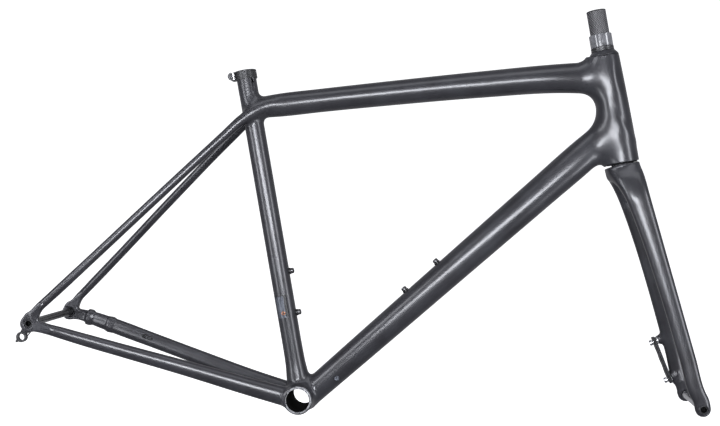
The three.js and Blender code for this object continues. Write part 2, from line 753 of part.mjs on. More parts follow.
function leftDropout() {
  const [right, left] = leftPlate;
  return mainBody(cut(
    dropoutOutline(leftPlate),
    axleHole(AXLE_R + GAP, [right - 1, left + 1]),
    ...brakeBlockX.map((x) => brakeBlock(x, GAP)[0]),
  ));
}

// The hanger lies inside the right dropout, held by its screw and by the axle that
// threads through it, and carries the derailleur's eye behind and below.
function hanger() {
  const thin = [-rearInner - HANGER_THICK, -rearInner];
  const thick = [-rearInner - 7, -rearInner];
  const arm = link(nearAxle(-2, -6), 7.5, hangerEyeAt, 5.6);
  const stop = link(hangerEyeAt, 4, nearAxle(-15.6, -28.4), 1.8);
  const room = dropoutOutline([-rearInner - 20, -rearInner - HANGER_THICK - 0.01], GAP);
  const body = joined(
    plate(link(nearAxle(0, 0), 10, hangerScrewAt, 5.4), thin),
    plate(arm, thin),
    crossRod(HANGER_EYE_R, hangerEyeAt, thick, 20),
    plate(stop, thick),
  );
  return mainBody(cut(
    body,
    room,
    axleHole(AXLE_R + GAP, [-100, 0]),
    crossRod(HANGER_HOLE_R, hangerEyeAt, [-100, 0], 20),
    crossRod(2.3, hangerScrewAt, [-100, 0], 10),
  ));
}

function hangerScrew() {
  const [right] = rightPlate;
  const head = crossRod(3.7, hangerScrewAt, [right + 0.2, right + 2.3], 12);
  const shank = crossRod(1.9, hangerScrewAt, [right + 1, -rearInner - 0.5], 10);
  const socket = crossRod(1.6, hangerScrewAt, [right - 1, right + 1.4], 6);
  return joined(head, shank).subtract(socket);
}
frame.add(
  piece('dropout_right', rightDropout(), carbon()),
  piece('dropout_left', leftDropout(), carbon()),
  piece('derailleur_hanger', hanger(), blackAlloy()),
  piece('hanger_screw', hangerScrew(), blackSteel()),
);

// The stays' ends straddle the dropout plates, and leave the left one's inner face clear.
const rightPlateSpace = dropoutOutline([rightPlate[0] - GAP, rightPlate[1] + GAP], GAP);
const leftPlateSpace = dropoutOutline([leftPlate[0] - 12, leftPlate[1] + GAP], GAP);
const axleEndSpace = crossRod(23.5, rearAxle, [-100, 100], 24);
const seatstay = mainBody(cut(
  tube(seatstayStations, 12, STAY_WALL),
  topTubeSolid,
  onSeatAxis(seatTubeSolid),
  axleEndSpace,
));
const chainstayTube = (extra) => mainBody(cut(
  tube(chainstayStations(extra), 14, STAY_WALL),
  shellSpace,
  downTubeSolid,
  onSeatAxis(seatTubeSolid),
  axleEndSpace,
));

const HOSE_PORT = [-264, 55.5, 50.3]; // where the rear brake hose leaves the left stay
function hosePort(length, height, [right, left]) {
  const [x, , z] = HOSE_PORT;
  const reach = length / 2 - height / 2;
  const ends = [-reach, reach].map((along) => [
    x - along * Math.cos(chainstaySlope), z + along * Math.sin(chainstaySlope),
  ]);
  return plate(link(ends[0], height / 2, ends[1], height / 2), [right, left]);
}

const leftChainstay = mainBody(cut(
  mirrored(chainstayTube(DISC_SIDE_EXTRA)),
  leftPlateSpace,
  ...brakeBlockX.map((x) => brakeBlock(x, GAP)[0]),
  hosePort(18 + 2 * GAP, 6 + 2 * GAP, [40, 60]),
));
const portLip = cut(
  hosePort(18, 6, [51.6, 56.5]),
  hosePort(14.6, 3, [40, 62]),
);
frame.add(
  piece('seatstay_right', mainBody(seatstay.subtract(rightPlateSpace)), carbon()),
  piece('seatstay_left', mainBody(mirrored(seatstay).subtract(leftPlateSpace)), carbon()),
  piece('chainstay_right', mainBody(chainstayTube(0).subtract(rightPlateSpace)), carbon()),
  piece('chainstay_left', leftChainstay, carbon()),
  piece('hose_port_lip', portLip, blackRubber()),
);
brakeBlockX.forEach((x, i) => {
  const name = ['front', 'rear'][i];
  const body = brakeBlock(x)[0].subtract(brakeBlockThread(x));
  frame.add(piece(`rear_brake_block_${name}`, body, blackAlloy()));
});

// ---- thru axles ----------------------------------------------------------------------

// A thru axle: 12 mm ends that fill the dropouts, a slimmer hollow waist between them, and
// a hexagon socket at the left end for the key that unscrews it.
function thruAxle(at, inner, [right, left]) {
  const ends = [
    crossRod(AXLE_R, at, [right, 8 - inner], 20),
    crossRod(AXLE_R, at, [inner - 12, left], 20),
  ];
  const waist = crossRod(AXLE_WAIST_R, at, [-inner, inner], 14);
  const bore = crossRod(AXLE_BORE_R, at, [right - 1, left + 1], 12);
  return joined(waist, ...ends).subtract(bore);
}
steering.add(piece(
  'front_thru_axle',
  thruAxle(forkAxle, frontInner, [-frontOuter + 1, frontOuter - 0.5]),
  polishedSteel(),
));
frame.add(piece(
  'rear_thru_axle',
  thruAxle(rearAxle, rearInner, [rightPlate[0] + 1, leftPlate[1] - 0.5]),
  blackSteel(),
));

export default frame;
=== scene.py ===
"""Looks of a road bicycle frameset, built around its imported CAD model.

Lengths are in millimetres, and MM turns them into metres when a mesh is made. The carbon
parts are one smooth distance field, whose surface is then divided into a closed piece for
each tube; the metal and rubber parts are turned or cut as meshes of their own.
"""
import json
import math

import bmesh
import bpy
import numpy as np
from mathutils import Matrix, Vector


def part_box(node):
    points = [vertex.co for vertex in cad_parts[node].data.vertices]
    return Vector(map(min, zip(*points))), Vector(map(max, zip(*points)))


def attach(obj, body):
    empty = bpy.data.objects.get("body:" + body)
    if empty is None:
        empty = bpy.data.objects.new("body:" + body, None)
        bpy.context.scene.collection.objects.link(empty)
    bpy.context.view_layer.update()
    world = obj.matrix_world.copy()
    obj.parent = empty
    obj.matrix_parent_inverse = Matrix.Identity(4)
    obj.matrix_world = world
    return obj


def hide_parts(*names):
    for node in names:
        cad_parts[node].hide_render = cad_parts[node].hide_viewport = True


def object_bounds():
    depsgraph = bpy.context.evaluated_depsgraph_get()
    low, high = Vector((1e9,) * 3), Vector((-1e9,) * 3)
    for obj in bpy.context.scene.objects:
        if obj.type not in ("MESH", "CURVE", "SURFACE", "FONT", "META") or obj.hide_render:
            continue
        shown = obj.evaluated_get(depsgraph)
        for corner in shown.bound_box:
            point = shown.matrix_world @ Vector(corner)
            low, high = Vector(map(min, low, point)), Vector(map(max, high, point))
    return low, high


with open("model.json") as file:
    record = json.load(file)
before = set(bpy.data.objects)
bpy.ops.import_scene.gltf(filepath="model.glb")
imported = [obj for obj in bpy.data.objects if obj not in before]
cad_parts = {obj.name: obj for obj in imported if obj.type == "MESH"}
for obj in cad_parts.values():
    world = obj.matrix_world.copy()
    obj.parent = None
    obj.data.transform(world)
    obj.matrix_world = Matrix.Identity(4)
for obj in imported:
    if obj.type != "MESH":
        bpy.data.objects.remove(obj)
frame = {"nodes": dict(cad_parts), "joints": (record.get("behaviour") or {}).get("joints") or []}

MM = 0.001
cad_low, cad_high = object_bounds()


# ---- places taken from the frame -------------------------------------------------------

def middle(node):
    """The middle of a CAD node's box, in millimetres."""
    low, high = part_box(node)
    return np.array((low + high) / 2) / MM


def reach(node, axis):
    """A CAD node's lowest and highest millimetre along X, Y or Z."""
    low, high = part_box(node)
    return low["XYZ".index(axis)] / MM, high["XYZ".index(axis)] / MM


steering = next(j for j in frame["joints"] if j["name"] == "steering")
HEAD_TOP = np.array(steering["pos_m"]) / MM
UP_AXIS = np.array(steering["axis"])
UP_AXIS = UP_AXIS / np.linalg.norm(UP_AXIS)
FORWARD = np.array((UP_AXIS[2], 0, -UP_AXIS[0]))
SIDEWAYS = np.array((0.0, 1.0, 0.0))
REAR_AXLE = middle("rear_thru_axle") * (1, 0, 1)
FRONT_AXLE = middle("front_thru_axle") * (1, 0, 1)


def on_steering(ahead, side, down):
    """A point given by its distance ahead of the steering axis, left, and down from the
    head tube's top edge."""
    return HEAD_TOP + FORWARD * ahead + SIDEWAYS * side - UP_AXIS * down


def on_seat(ahead, side, up):
    """A point given from the seat tube's axis: ahead of it, left, and up from the bottom
    bracket. The seat tube is parallel to the steering axis."""
    return FORWARD * ahead + SIDEWAYS * side + UP_AXIS * up


# ---- the distance field ----------------------------------------------------------------

FAR = 1000.0
BAR_BLEND = 4.0  # between the bars of one flat plate
SLOPE_REACH = 0.08
RELAX_ROUNDS, SETTLE_ROUNDS = 3, 2


def smooth_max(a, b, soft):
    mix = np.maximum(soft - np.abs(a - b), 0) / soft
    return np.maximum(a, b) + mix * mix * soft / 4


def smooth_min(a, b, soft):
    return -smooth_max(-a, -b, soft)


def smooth_line(knots, values):
    """A smooth curve through a few values, sampled at every millimetre."""
    knots, values = np.asarray(knots, float), np.asarray(values, float)
    slopes = np.gradient(values, knots)
    fine = np.append(np.arange(knots[0], knots[-1], 1.0), knots[-1])
    i = np.clip(np.searchsorted(knots, fine, side="right") - 1, 0, len(knots) - 2)
    gap = knots[i + 1] - knots[i]
    s = (fine - knots[i]) / gap
    curve = (
        (2 * s**3 - 3 * s**2 + 1) * values[i]
        + (s**3 - 2 * s**2 + s) * gap * slopes[i]
        + (3 * s**2 - 2 * s**3) * values[i + 1]
        + (s**3 - s**2) * gap * slopes[i + 1]
    )
    return fine, curve


class Loft:
    """A bar along a chord. Each station is (centre, half height, half width), and the
    section between them is a smooth superellipse, square to the chord. The part kept is
    given as shares of the chord's length."""

    def __init__(self, stations, power=2.0, edge=1.5, side=SIDEWAYS, part=(0, 1)):
        places = np.array([s[0] for s in stations], float)
        chord = places[-1] - places[0]
        self.start, self.length = places[0], np.linalg.norm(chord)
        self.along = chord / self.length
        across = side - self.along * np.dot(side, self.along)
        self.across = across / np.linalg.norm(across)
        self.upright = np.cross(self.across, self.along)
        self.power, self.edge = power, edge
        self.span = (part[0] * self.length, part[1] * self.length)
        offset = places - self.start
        knots = offset @ self.along
        rows = [offset @ self.upright, offset @ self.across]
        rows += [[s[1] for s in stations], [s[2] for s in stations]]
        lines = [smooth_line(knots, row) for row in rows]
        self.fine = lines[0][0]
        self.rows = [line[1] for line in lines]

    def box(self):
        rise, aside, high, wide = self.rows
        spine = (
            self.start
            + self.fine[:, None] * self.along
            + rise[:, None] * self.upright
            + aside[:, None] * self.across
        )
        room = max(high.max(), wide.max())
        return spine.min(0) - room, spine.max(0) + room

    def __call__(self, x, y, z):
        dx, dy, dz = x - self.start[0], y - self.start[1], z - self.start[2]
        t, u, w = (
            dx * v[0] + dy * v[1] + dz * v[2] for v in (self.along, self.upright, self.across)
        )
        rise, aside, high, wide = (np.interp(t, self.fine, row) for row in self.rows)
        u, w = u - rise, w - aside
        if self.power == 2.0:
            share = np.sqrt((u / high) ** 2 + (w / wide) ** 2)
        else:
            share = (np.abs(u / high) ** self.power + np.abs(w / wide) ** self.power) ** (
                1 / self.power
            )
        flat = np.hypot(u, w)
        around = flat - flat / np.maximum(share, 1e-4)
        ends = np.maximum(self.span[0] - t, t - self.span[1])
        return smooth_max(around, ends, self.edge)


class Web:
    """A flat plate in the side view, between two sideways limits: bars from one circle
    (x, z, radius) to another."""

    def __init__(self, bars, right, left, edge=1.2):
        self.bars, self.right, self.left, self.edge = bars, right, left, edge

    def box(self):
        ends = np.array([end for bar in self.bars for end in bar])
        low = (ends[:, :2] - ends[:, 2:]).min(0)
        high = (ends[:, :2] + ends[:, 2:]).max(0)
        return (
            np.array((low[0], self.right, low[1])),
            np.array((high[0], self.left, high[1])),
        )

    def __call__(self, x, y, z):
        outline = FAR
        for (ax, az, ar), (bx, bz, br) in self.bars:
            ex, ez = bx - ax, bz - az
            share = np.clip(((x - ax) * ex + (z - az) * ez) / (ex * ex + ez * ez), 0, 1)
            apart = np.hypot(x - ax - share * ex, z - az - share * ez)
            outline = smooth_min(outline, apart - (ar + share * (br - ar)), BAR_BLEND)
        middle_y, half = (self.right + self.left) / 2, (self.left - self.right) / 2
        return smooth_max(outline, np.abs(y - middle_y) - half, self.edge)


def rod(start, end, radius, end_radius=None, edge=0.8):
    last = radius if end_radius is None else end_radius
    side = SIDEWAYS if abs(end[1] - start[1]) < 1 else np.array((1.0, 0.0, 0.0))
    return Loft([(start, radius, radius), (end, last, last)], edge=edge, side=side)


class Field:
    """Shapes joined and cut with soft blends. Each joined shape has an owner's number."""

    def __init__(self):
        self.steps = []

    def join(self, owner, shape, soft=8.0):
        self.steps.append((owner, shape, soft))

    def cut(self, shape, soft=0.8):
        self.steps.append((0, shape, soft))

    def limits(self):
        boxes = [shape.box() for owner, shape, _ in self.steps if owner]
        return np.min([b[0] for b in boxes], 0), np.max([b[1] for b in boxes], 0)

    def sample(self, axes):
        """The field's value and owner on a grid."""
        size = [len(a) for a in axes]
        value = np.full(size, FAR, np.float32)
        nearest = np.full(size, FAR, np.float32)
        owners = np.zeros(size, np.uint8)
        for owner, shape, soft in self.steps:
            low, high = shape.box()
            spans = []
            for axis, line in enumerate(axes):
                room = soft + 3
                first = np.searchsorted(line, low[axis] - room)
                last = np.searchsorted(line, high[axis] + room)
                spans.append(slice(first, last))
            spans = tuple(spans)
            x, y, z = (line[span] for line, span in zip(axes, spans))
            if min(len(x), len(y), len(z)) == 0:
                continue
            near = shape(x[:, None, None], y[None, :, None], z[None, None, :])
            near = near.astype(np.float32)
            if owner:
                value[spans] = smooth_min(value[spans], near, soft)
                closer = near < nearest[spans]
                owners[spans][closer] = owner
                nearest[spans] = np.minimum(nearest[spans], near)
            else:
                value[spans] = smooth_max(value[spans], -near, soft)
        return value, owners

    def at(self, points):
        value = np.full(len(points), FAR)
        for owner, shape, soft in self.steps:
            low, high = shape.box()
            room = soft + 3
            inside = np.all((points > low - room) & (points < high + room), axis=1)
            if not inside.any():
                continue
            near = shape(*points[inside].T)
            if owner:
                value[inside] = smooth_min(value[inside], near, soft)
            else:
                value[inside] = smooth_max(value[inside], -near, soft)
        return value

    def slope(self, points):
        parts = []
        for axis in range(3):
            shift = np.zeros(3)
            shift[axis] = SLOPE_REACH
            rise = self.at(points + shift) - self.at(points - shift)
            parts.append(rise / (2 * SLOPE_REACH))
        return np.stack(parts, 1)


CORNERS = [(i, j, k) for i in (0, 1) for j in (0, 1) for k in (0, 1)]
EDGES = [
    (a, b)
    for a, p in enumerate(CORNERS)
    for b, q in enumerate(CORNERS)
    if b > a and sum(abs(m - n) for m, n in zip(p, q)) == 1
]


def neighbours(axis):
    """Slices that set each grid place against the next one along an axis."""
    here, there = [slice(None)] * 3, [slice(None)] * 3
    here[axis], there[axis] = slice(None, -1), slice(1, None)
    return tuple(here), tuple(there)


def net(field, step):
    """The field's surface as quads. Gives the points, the quads, the owner on each side of
    every quad (0 is air) and which points lie on the open surface."""
    low, high = field.limits()
    axes = [
        np.arange(low[i] - 2.5 * step, high[i] + 3.5 * step, step) for i in range(3)
    ]
    value, owners = field.sample(axes)
    owners = np.where(value < 0, owners, 0).astype(np.uint8)
    least, most = owners, owners
    for axis in range(3):
        a, b = neighbours(axis)
        least = np.minimum(least[a], least[b])
        most = np.maximum(most[a], most[b])
    cells = np.argwhere(least != most)
    number = np.full(least.shape, -1, np.int32)
    number[tuple(cells.T)] = np.arange(len(cells))
    corner_values = [value[tuple((cells + c).T)] for c in CORNERS]
    corner_owners = [owners[tuple((cells + c).T)] for c in CORNERS]
    total = np.zeros((len(cells), 3))
    count = np.zeros(len(cells))
    inner_total, inner_count = np.zeros((len(cells), 3)), np.zeros(len(cells))
    for a, b in EDGES:
        start, run = np.array(CORNERS[a]), np.array(CORNERS[b]) - np.array(CORNERS[a])
        va, vb = corner_values[a], corner_values[b]
        oa, ob = corner_owners[a], corner_owners[b]
        crosses = (oa == 0) != (ob == 0)
        share = np.where(crosses, va / np.where(crosses, va - vb, 1), 0)
        total += np.where(crosses[:, None], start + share[:, None] * run, 0)
        count += crosses
        changes = oa != ob
        inner_total += np.where(changes[:, None], start + 0.5 * run, 0)
        inner_count += changes
    is_open = count > 0
    place = np.where(
        is_open[:, None],
        total / np.maximum(count, 1)[:, None],
        inner_total / np.maximum(inner_count, 1)[:, None],
    )
    origin = np.array([line[0] for line in axes])
    points = origin + step * (cells + place)

    quads, sides = [], []
    for axis in range(3):
        a, b = neighbours(axis)
        here, there = owners[a], owners[b]
        found = np.argwhere(here != there)
        back_b, back_c = np.zeros(3, int), np.zeros(3, int)
        back_b[(axis + 1) % 3] = 1
        back_c[(axis + 2) % 3] = 1
        ring = [found - back_b - back_c, found - back_c, found, found - back_b]
        quads.append(np.stack([number[tuple(r.T)] for r in ring], 1))
        sides.append(np.stack([here[tuple(found.T)], there[tuple(found.T)]], 1))
    quads, sides = np.concatenate(quads), np.concatenate(sides)

    skin = quads[(sides == 0).any(1)]
    for _ in range(RELAX_ROUNDS):
        settle(field, points, is_open, step)
        smooth_points(points, quads, ~is_open)
        smooth_points(points, skin, is_open)
    settle(field, points, is_open, step)
    return points, quads, sides, is_open


def smooth_points(points, quads, chosen):
    """Moves the chosen points half way to the middle of their neighbours."""
    ends = np.concatenate([quads, np.roll(quads, -1, axis=1)]).ravel()
    others = np.concatenate([np.roll(quads, -1, axis=1), quads]).ravel()
    count = np.maximum(np.bincount(ends, minlength=len(points)), 1)
    mean = np.stack(
        [np.bincount(ends, points[others, i], minlength=len(points)) / count for i in range(3)], 1
    )
    chosen = chosen & (np.bincount(ends, minlength=len(points)) > 0)
    points[chosen] += 0.5 * (mean[chosen] - points[chosen])


def settle(field, points, chosen, step):
    """Moves the chosen points onto the field's surface."""
    for _ in range(SETTLE_ROUNDS):
        some = points[chosen]
        slope = field.slope(some)
        steep = np.maximum((slope**2).sum(1), 0.05)
        move = np.clip(field.at(some) / steep, -step, step)
        points[chosen] = some - move[:, None] * slope


# ---- meshes ----------------------------------------------------------------------------

def linked(name, data):
    """A new object in the scene."""
    piece = bpy.data.objects.new(name, data)
    bpy.context.scene.collection.objects.link(piece)
    return piece


def from_bmesh(name, bm):
    mesh = bpy.data.meshes.new(name)
    bm.to_mesh(mesh)
    bm.free()
    return linked(name, mesh)


def mesh_from(name, points, faces, loop_normals):
    """A mesh object from points in millimetres and faces with the same number of corners."""
    faces = np.asarray(faces, np.int32)
    corners = faces.shape[1]
    mesh = bpy.data.meshes.new(name)
    mesh.vertices.add(len(points))
    mesh.vertices.foreach_set("co", (np.asarray(points) * MM).astype(np.float32).ravel())
    mesh.loops.add(faces.size)
    mesh.loops.foreach_set("vertex_index", faces.ravel())
    mesh.polygons.add(len(faces))
    mesh.polygons.foreach_set("loop_start", np.arange(0, faces.size, corners, dtype=np.int32))
    mesh.update(calc_edges=True)
    mesh.polygons.foreach_set("use_smooth", np.ones(len(faces), bool))
    mesh.normals_split_custom_set(loop_normals)
    return linked(name, mesh)


def show(piece, body, slot, material, *nodes):
    """Gives a piece its body and material, and hides the CAD nodes that it stands for. The slot
    is not used.
    """
    piece.data.materials.append(material)
    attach(piece, body)
    if nodes:
        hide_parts(*nodes)
    return piece


def skins(field, names, body, material, step):
    """One closed piece for each owner in the field."""
    points, quads, sides, is_open = net(field, step)
    slope = field.slope(points)
    slope /= np.maximum(np.linalg.norm(slope, axis=1), 1e-6)[:, None]
    for owner, name in enumerate(names, 1):
        ours, theirs = sides[:, 0] == owner, sides[:, 1] == owner
        faces = np.concatenate([quads[ours], quads[theirs][:, ::-1]])
        other = np.concatenate([sides[ours][:, 1], sides[theirs][:, 0]])
        used, faces = np.unique(faces, return_inverse=True)
        faces = faces.reshape(-1, 4)
        place = points[used]
        cross = np.cross(
            place[faces[:, 2]] - place[faces[:, 0]], place[faces[:, 3]] - place[faces[:, 1]]
        )
        cross /= np.maximum(np.linalg.norm(cross, axis=1), 1e-9)[:, None]
        normals = np.where(
            (other == 0)[:, None, None], slope[used][faces], cross[:, None, :]
        ).reshape(-1, 3)
        piece = mesh_from(f"{name}_skin", place, faces, normals)
        show(piece, body, "satin_carbon", material, name)


def turned(name, profile, at, axis, segments=48):
    """A closed ring or knob turned about an axis through a point. The profile's points are
    (radius, height), or (inradius, height, 6) where that ring is a hexagon."""
    axis = Vector(axis).normalized()
    x_axis = Vector((0, 1, 0.01)).cross(axis).normalized()
    y_axis = axis.cross(x_axis)
    turn = np.linspace(0, 2 * math.pi, segments, endpoint=False)
    points, rings = [], []
    for spot in profile:
        radius, height = spot[0], spot[1]
        reach_out = np.full(segments, float(radius))
        if len(spot) > 2:
            sector = 2 * math.pi / spot[2]
            reach_out = radius / np.cos((turn + sector / 2) % sector - sector / 2)
        if radius == 0:
            rings.append([len(points)] * segments)
            points.append(np.array(at) + np.array(axis) * height)
            continue
        rings.append(list(range(len(points), len(points) + segments)))
        for angle, r in zip(turn, reach_out):
            spoke = np.array(x_axis) * math.cos(angle) + np.array(y_axis) * math.sin(angle)
            points.append(np.array(at) + spoke * r + np.array(axis) * height)
    bm = bmesh.new()
    verts = [bm.verts.new(np.array(p) * MM) for p in points]
    pairs = list(zip(rings, rings[1:]))
    if profile[0][0] != 0 or profile[-1][0] != 0:
        pairs.append((rings[-1], rings[0]))
    for a, b in pairs:
        for i in range(segments):
            j = (i + 1) % segments
            corner = []
            for index in (a[i], a[j], b[j], b[i]):
                if verts[index] not in corner:
                    corner.append(verts[index])
            if len(corner) > 2:
                bm.faces.new(corner)
    return closed(name, bm)


SHARP_ANGLE, BEVEL_ANGLE, BEVEL_SEGMENTS = 35, 30, 3
END_POINTS = 16  # round each end of a link


def closed(name, bm):
    """Finishes a bmesh: outward faces, smooth shading and sharp edges."""
    bmesh.ops.recalc_face_normals(bm, faces=bm.faces)
    limit = math.radians(SHARP_ANGLE)
    for face in bm.faces:
        face.smooth = True
    for edge in bm.edges:
        edge.smooth = edge.calc_face_angle(0) < limit
    return from_bmesh(name, bm)


def bevel(piece, width):
    """Rounds a piece's sharp edges and applies the rounding."""
    modifier = piece.modifiers.new("bevel", "BEVEL")
    modifier.width = width * MM
    modifier.segments = BEVEL_SEGMENTS
    modifier.limit_method = "ANGLE"
    modifier.angle_limit = math.radians(BEVEL_ANGLE)
    apply_all(piece)
    return piece


def apply_all(piece):
    graph = bpy.context.evaluated_depsgraph_get()
    made = bpy.data.meshes.new_from_object(piece.evaluated_get(graph))
    piece.modifiers.clear()
    piece.data = made


def combine(piece, operation, *tools):
    """Joins the tools to a piece, or cuts them out of it, and removes them."""
    for tool in tools:
        modifier = piece.modifiers.new("combine", "BOOLEAN")
        modifier.operation = operation
        modifier.solver = "EXACT"
        modifier.object = tool
        apply_all(piece)
        bpy.data.objects.remove(tool)
    return piece


def subtract(piece, *tools):
    return combine(piece, "DIFFERENCE", *tools)


def slab(name, outline, place, right, left):
    """A flat piece from an outline of (u, v) points; place turns (u, v, depth) into a point."""
    bm = bmesh.new()
    rings = []
    for depth in (right, left):
        rings.append([bm.verts.new(np.array(place(u, v, depth)) * MM) for u, v in outline])
    bm.faces.new(rings[0])
    bm.faces.new(rings[1][::-1])
    for i in range(len(outline)):
        j = (i + 1) % len(outline)
        bm.faces.new([rings[0][i], rings[1][i], rings[1][j], rings[0][j]])
    return closed(name, bm)


def rectangle(left, right, low, high):
    return [(left, low), (right, low), (right, high), (left, high)]


def arc(centre, radius, start, end, count=12):
    """Points along an arc, in degrees."""
    return [
        (
            centre[0] + radius * math.cos(math.radians(a)),
            centre[1] + radius * math.sin(math.radians(a)),
        )
        for a in np.linspace(start, end, count)
    ]


def link_outline(a, ra, b, rb):
    """The outline of two discs and the straight edges that join them."""
    direction = math.degrees(math.atan2(b[1] - a[1], b[0] - a[0]))
    spread = math.degrees(math.acos((ra - rb) / math.dist(a, b)))
    around_a = arc(a, ra, direction + spread, direction - spread + 360, END_POINTS)
    return around_a + arc(b, rb, direction - spread, direction + spread, END_POINTS)


# ---- materials -------------------------------------------------------------------------

def shader(name, base, roughness, metallic=0.0, coat=0.0, coat_roughness=0.1, specular=0.5):
    material = bpy.data.materials.new(name)
    material.use_nodes = True
    nodes = material.node_tree.nodes
    surface = nodes["Principled BSDF"]
    for socket, value in (
        ("Base Color", (*base, 1)), ("Roughness", roughness), ("Metallic", metallic),
        ("Coat Weight", coat), ("Coat Roughness", coat_roughness),
        ("Specular IOR Level", specular),
    ):
        surface.inputs[socket].default_value = value
    return material, nodes, material.node_tree.links, surface


def ramp(nodes, links, source, stops):
    """A colour ramp fed by a socket. Stops are (position, colour)."""
    node = nodes.new("ShaderNodeValToRGB")
    elements = node.color_ramp.elements
    for i, (place, colour) in enumerate(stops):
        element = elements[i] if i < 2 else elements.new(place)
        element.position = place
        element.color = (*colour, 1)
    links.new(source, node.inputs["Fac"])
    return node.outputs["Color"]


def noise(nodes, links, scale, detail=4.0, rough=0.6):
    """Noise in the object's own coordinates."""
    coordinates = nodes.new("ShaderNodeTexCoord")
    texture = nodes.new("ShaderNodeTexNoise")
    texture.inputs["Scale"].default_value = scale
    texture.inputs["Detail"].default_value = detail
    texture.inputs["Roughness"].default_value = rough
    links.new(coordinates.outputs["Object"], texture.inputs["Vector"])
    return texture.outputs["Fac"]


def bump(nodes, links, height, surface, strength, distance):
    node = nodes.new("ShaderNodeBump")
    node.inputs["Strength"].default_value = strength
    node.inputs["Distance"].default_value = distance * MM
    links.new(height, node.inputs["Height"])
    links.new(node.outputs["Normal"], surface.inputs["Normal"])


def satin_carbon():
    """Unidirectional carbon under a satin lacquer: softly mottled plies, a hazy sheen."""
    material, nodes, links, surface = shader(
        "satin_carbon", (0.02, 0.02, 0.023), 0.3, 0.25, coat=0.35, coat_roughness=0.19
    )
    mottle = noise(nodes, links, 22.0, 5.0, 0.55)
    base = ramp(
        nodes, links, mottle,
        [(0.30, (0.020, 0.019, 0.022)), (0.72, (0.037, 0.037, 0.042))],
    )
    links.new(base, surface.inputs["Base Color"])
    haze = noise(nodes, links, 14.0, 2.0, 0.5)
    dull = ramp(nodes, links, haze, [(0.3, (0.30,) * 3), (0.7, (0.37,) * 3)])
    links.new(dull, surface.inputs["Roughness"])
    return material


def woven_carbon():
    """Bare plain-weave cloth with a peel-ply surface."""
    material, nodes, links, surface = shader("woven_carbon", (0.06, 0.06, 0.065), 0.5)
    coordinates = nodes.new("ShaderNodeTexCoord")
    heights = []
    for direction in (1, -1):
        mapping = nodes.new("ShaderNodeMapping")
        mapping.inputs["Rotation"].default_value = (0, math.radians(45 * direction), 0)
        wave = nodes.new("ShaderNodeTexWave")
        wave.inputs["Scale"].default_value = 130.0
        wave.inputs["Distortion"].default_value = 0.4
        links.new(coordinates.outputs["Object"], mapping.inputs["Vector"])
        links.new(mapping.outputs["Vector"], wave.inputs["Vector"])
        heights.append(wave.outputs["Fac"])
    both = nodes.new("ShaderNodeMath")
    both.operation = "MULTIPLY"
    links.new(heights[0], both.inputs[0])
    links.new(heights[1], both.inputs[1])
    base = ramp(
        nodes, links, both.outputs[0],
        [(0.05, (0.020, 0.020, 0.022)), (0.6, (0.13, 0.125, 0.13))],
    )
    links.new(base, surface.inputs["Base Color"])
    bump(nodes, links, both.outputs[0], surface, 0.6, 0.3)
    return material


def gloss_carbon():
    material, nodes, links, surface = shader(
        "gloss_carbon", (0.05, 0.05, 0.055), 0.2, coat=1.0, coat_roughness=0.04
    )
    mottle = noise(nodes, links, 90.0, 4.0)
    base = ramp(
        nodes, links, mottle, [(0.3, (0.08, 0.08, 0.085)), (0.75, (0.17, 0.17, 0.18))]
    )
    links.new(base, surface.inputs["Base Color"])
    return material


def worn_metal(name, dark, light, roughness, metallic, grain=0.15, specular=0.5):
    """Metal or anodised alloy with a faint cloudiness and a fine turned or blasted grain."""
    material, nodes, links, surface = shader(
        name, light, roughness, metallic, specular=specular
    )
    cloud = noise(nodes, links, 120.0, 4.0)
    links.new(
        ramp(nodes, links, cloud, [(0.3, dark), (0.7, light)]), surface.inputs["Base Color"]
    )
    low, high = roughness - 0.05, roughness + 0.1
    links.new(
        ramp(nodes, links, cloud, [(0.3, (low,) * 3), (0.75, (high,) * 3)]),
        surface.inputs["Roughness"],
    )
    bump(nodes, links, noise(nodes, links, 900.0, 2.0), surface, grain, 0.1)
    return material


CARBON = satin_carbon()
WOVEN = woven_carbon()
GLOSS = gloss_carbon()
BLACK_ALLOY = worn_metal("black_alloy", (0.008,) * 3, (0.018, 0.018, 0.02), 0.36, 0.3)
SILVER_ALLOY = worn_metal("silver_alloy", (0.42, 0.42, 0.43), (0.62, 0.62, 0.63), 0.28, 1.0)
BLACK_STEEL = worn_metal("black_steel", (0.06,) * 3, (0.11, 0.11, 0.115), 0.2, 0.8)
BRIGHT_STEEL = worn_metal("bright_steel", (0.55, 0.55, 0.56), (0.8, 0.8, 0.81), 0.2, 1.0)
BEARING_STEEL = worn_metal("bearing_steel", (0.3,) * 3, (0.42, 0.42, 0.43), 0.25, 1.0)
COPPER = worn_metal("copper", (0.28, 0.12, 0.07), (0.45, 0.2, 0.11), 0.4, 0.9)
RUBBER = worn_metal("black_rubber", (0.006,) * 3, (0.014,) * 3, 0.7, 0.0, grain=0.4)
GREY_PLATE = worn_metal(
    "grey_anodised_plate", (0.07, 0.075, 0.09), (0.12, 0.128, 0.15), 0.35, 0.6
)
SATIN_ALLOY = worn_metal("satin_black_alloy", (0.03,) * 3, (0.05, 0.05, 0.053), 0.3, 0.3)
# Near black and almost without sheen: painted shade for bores and the gap under the head tube.
SHADE_BLACK = worn_metal("painted_shade_black", (0.002,) * 3, (0.005,) * 3, 0.6, 0.0, specular=0.1)


# ---- the frame's carbon ----------------------------------------------------------------

FRAME_OWNERS = [
    "head_tube", "top_tube", "down_tube", "seat_tube", "bottom_bracket_shell",
    "chainstay_right", "chainstay_left", "seatstay_right", "seatstay_left",
    "dropout_right", "dropout_left",
]
OWNER = {name: i + 1 for i, name in enumerate(FRAME_OWNERS)}

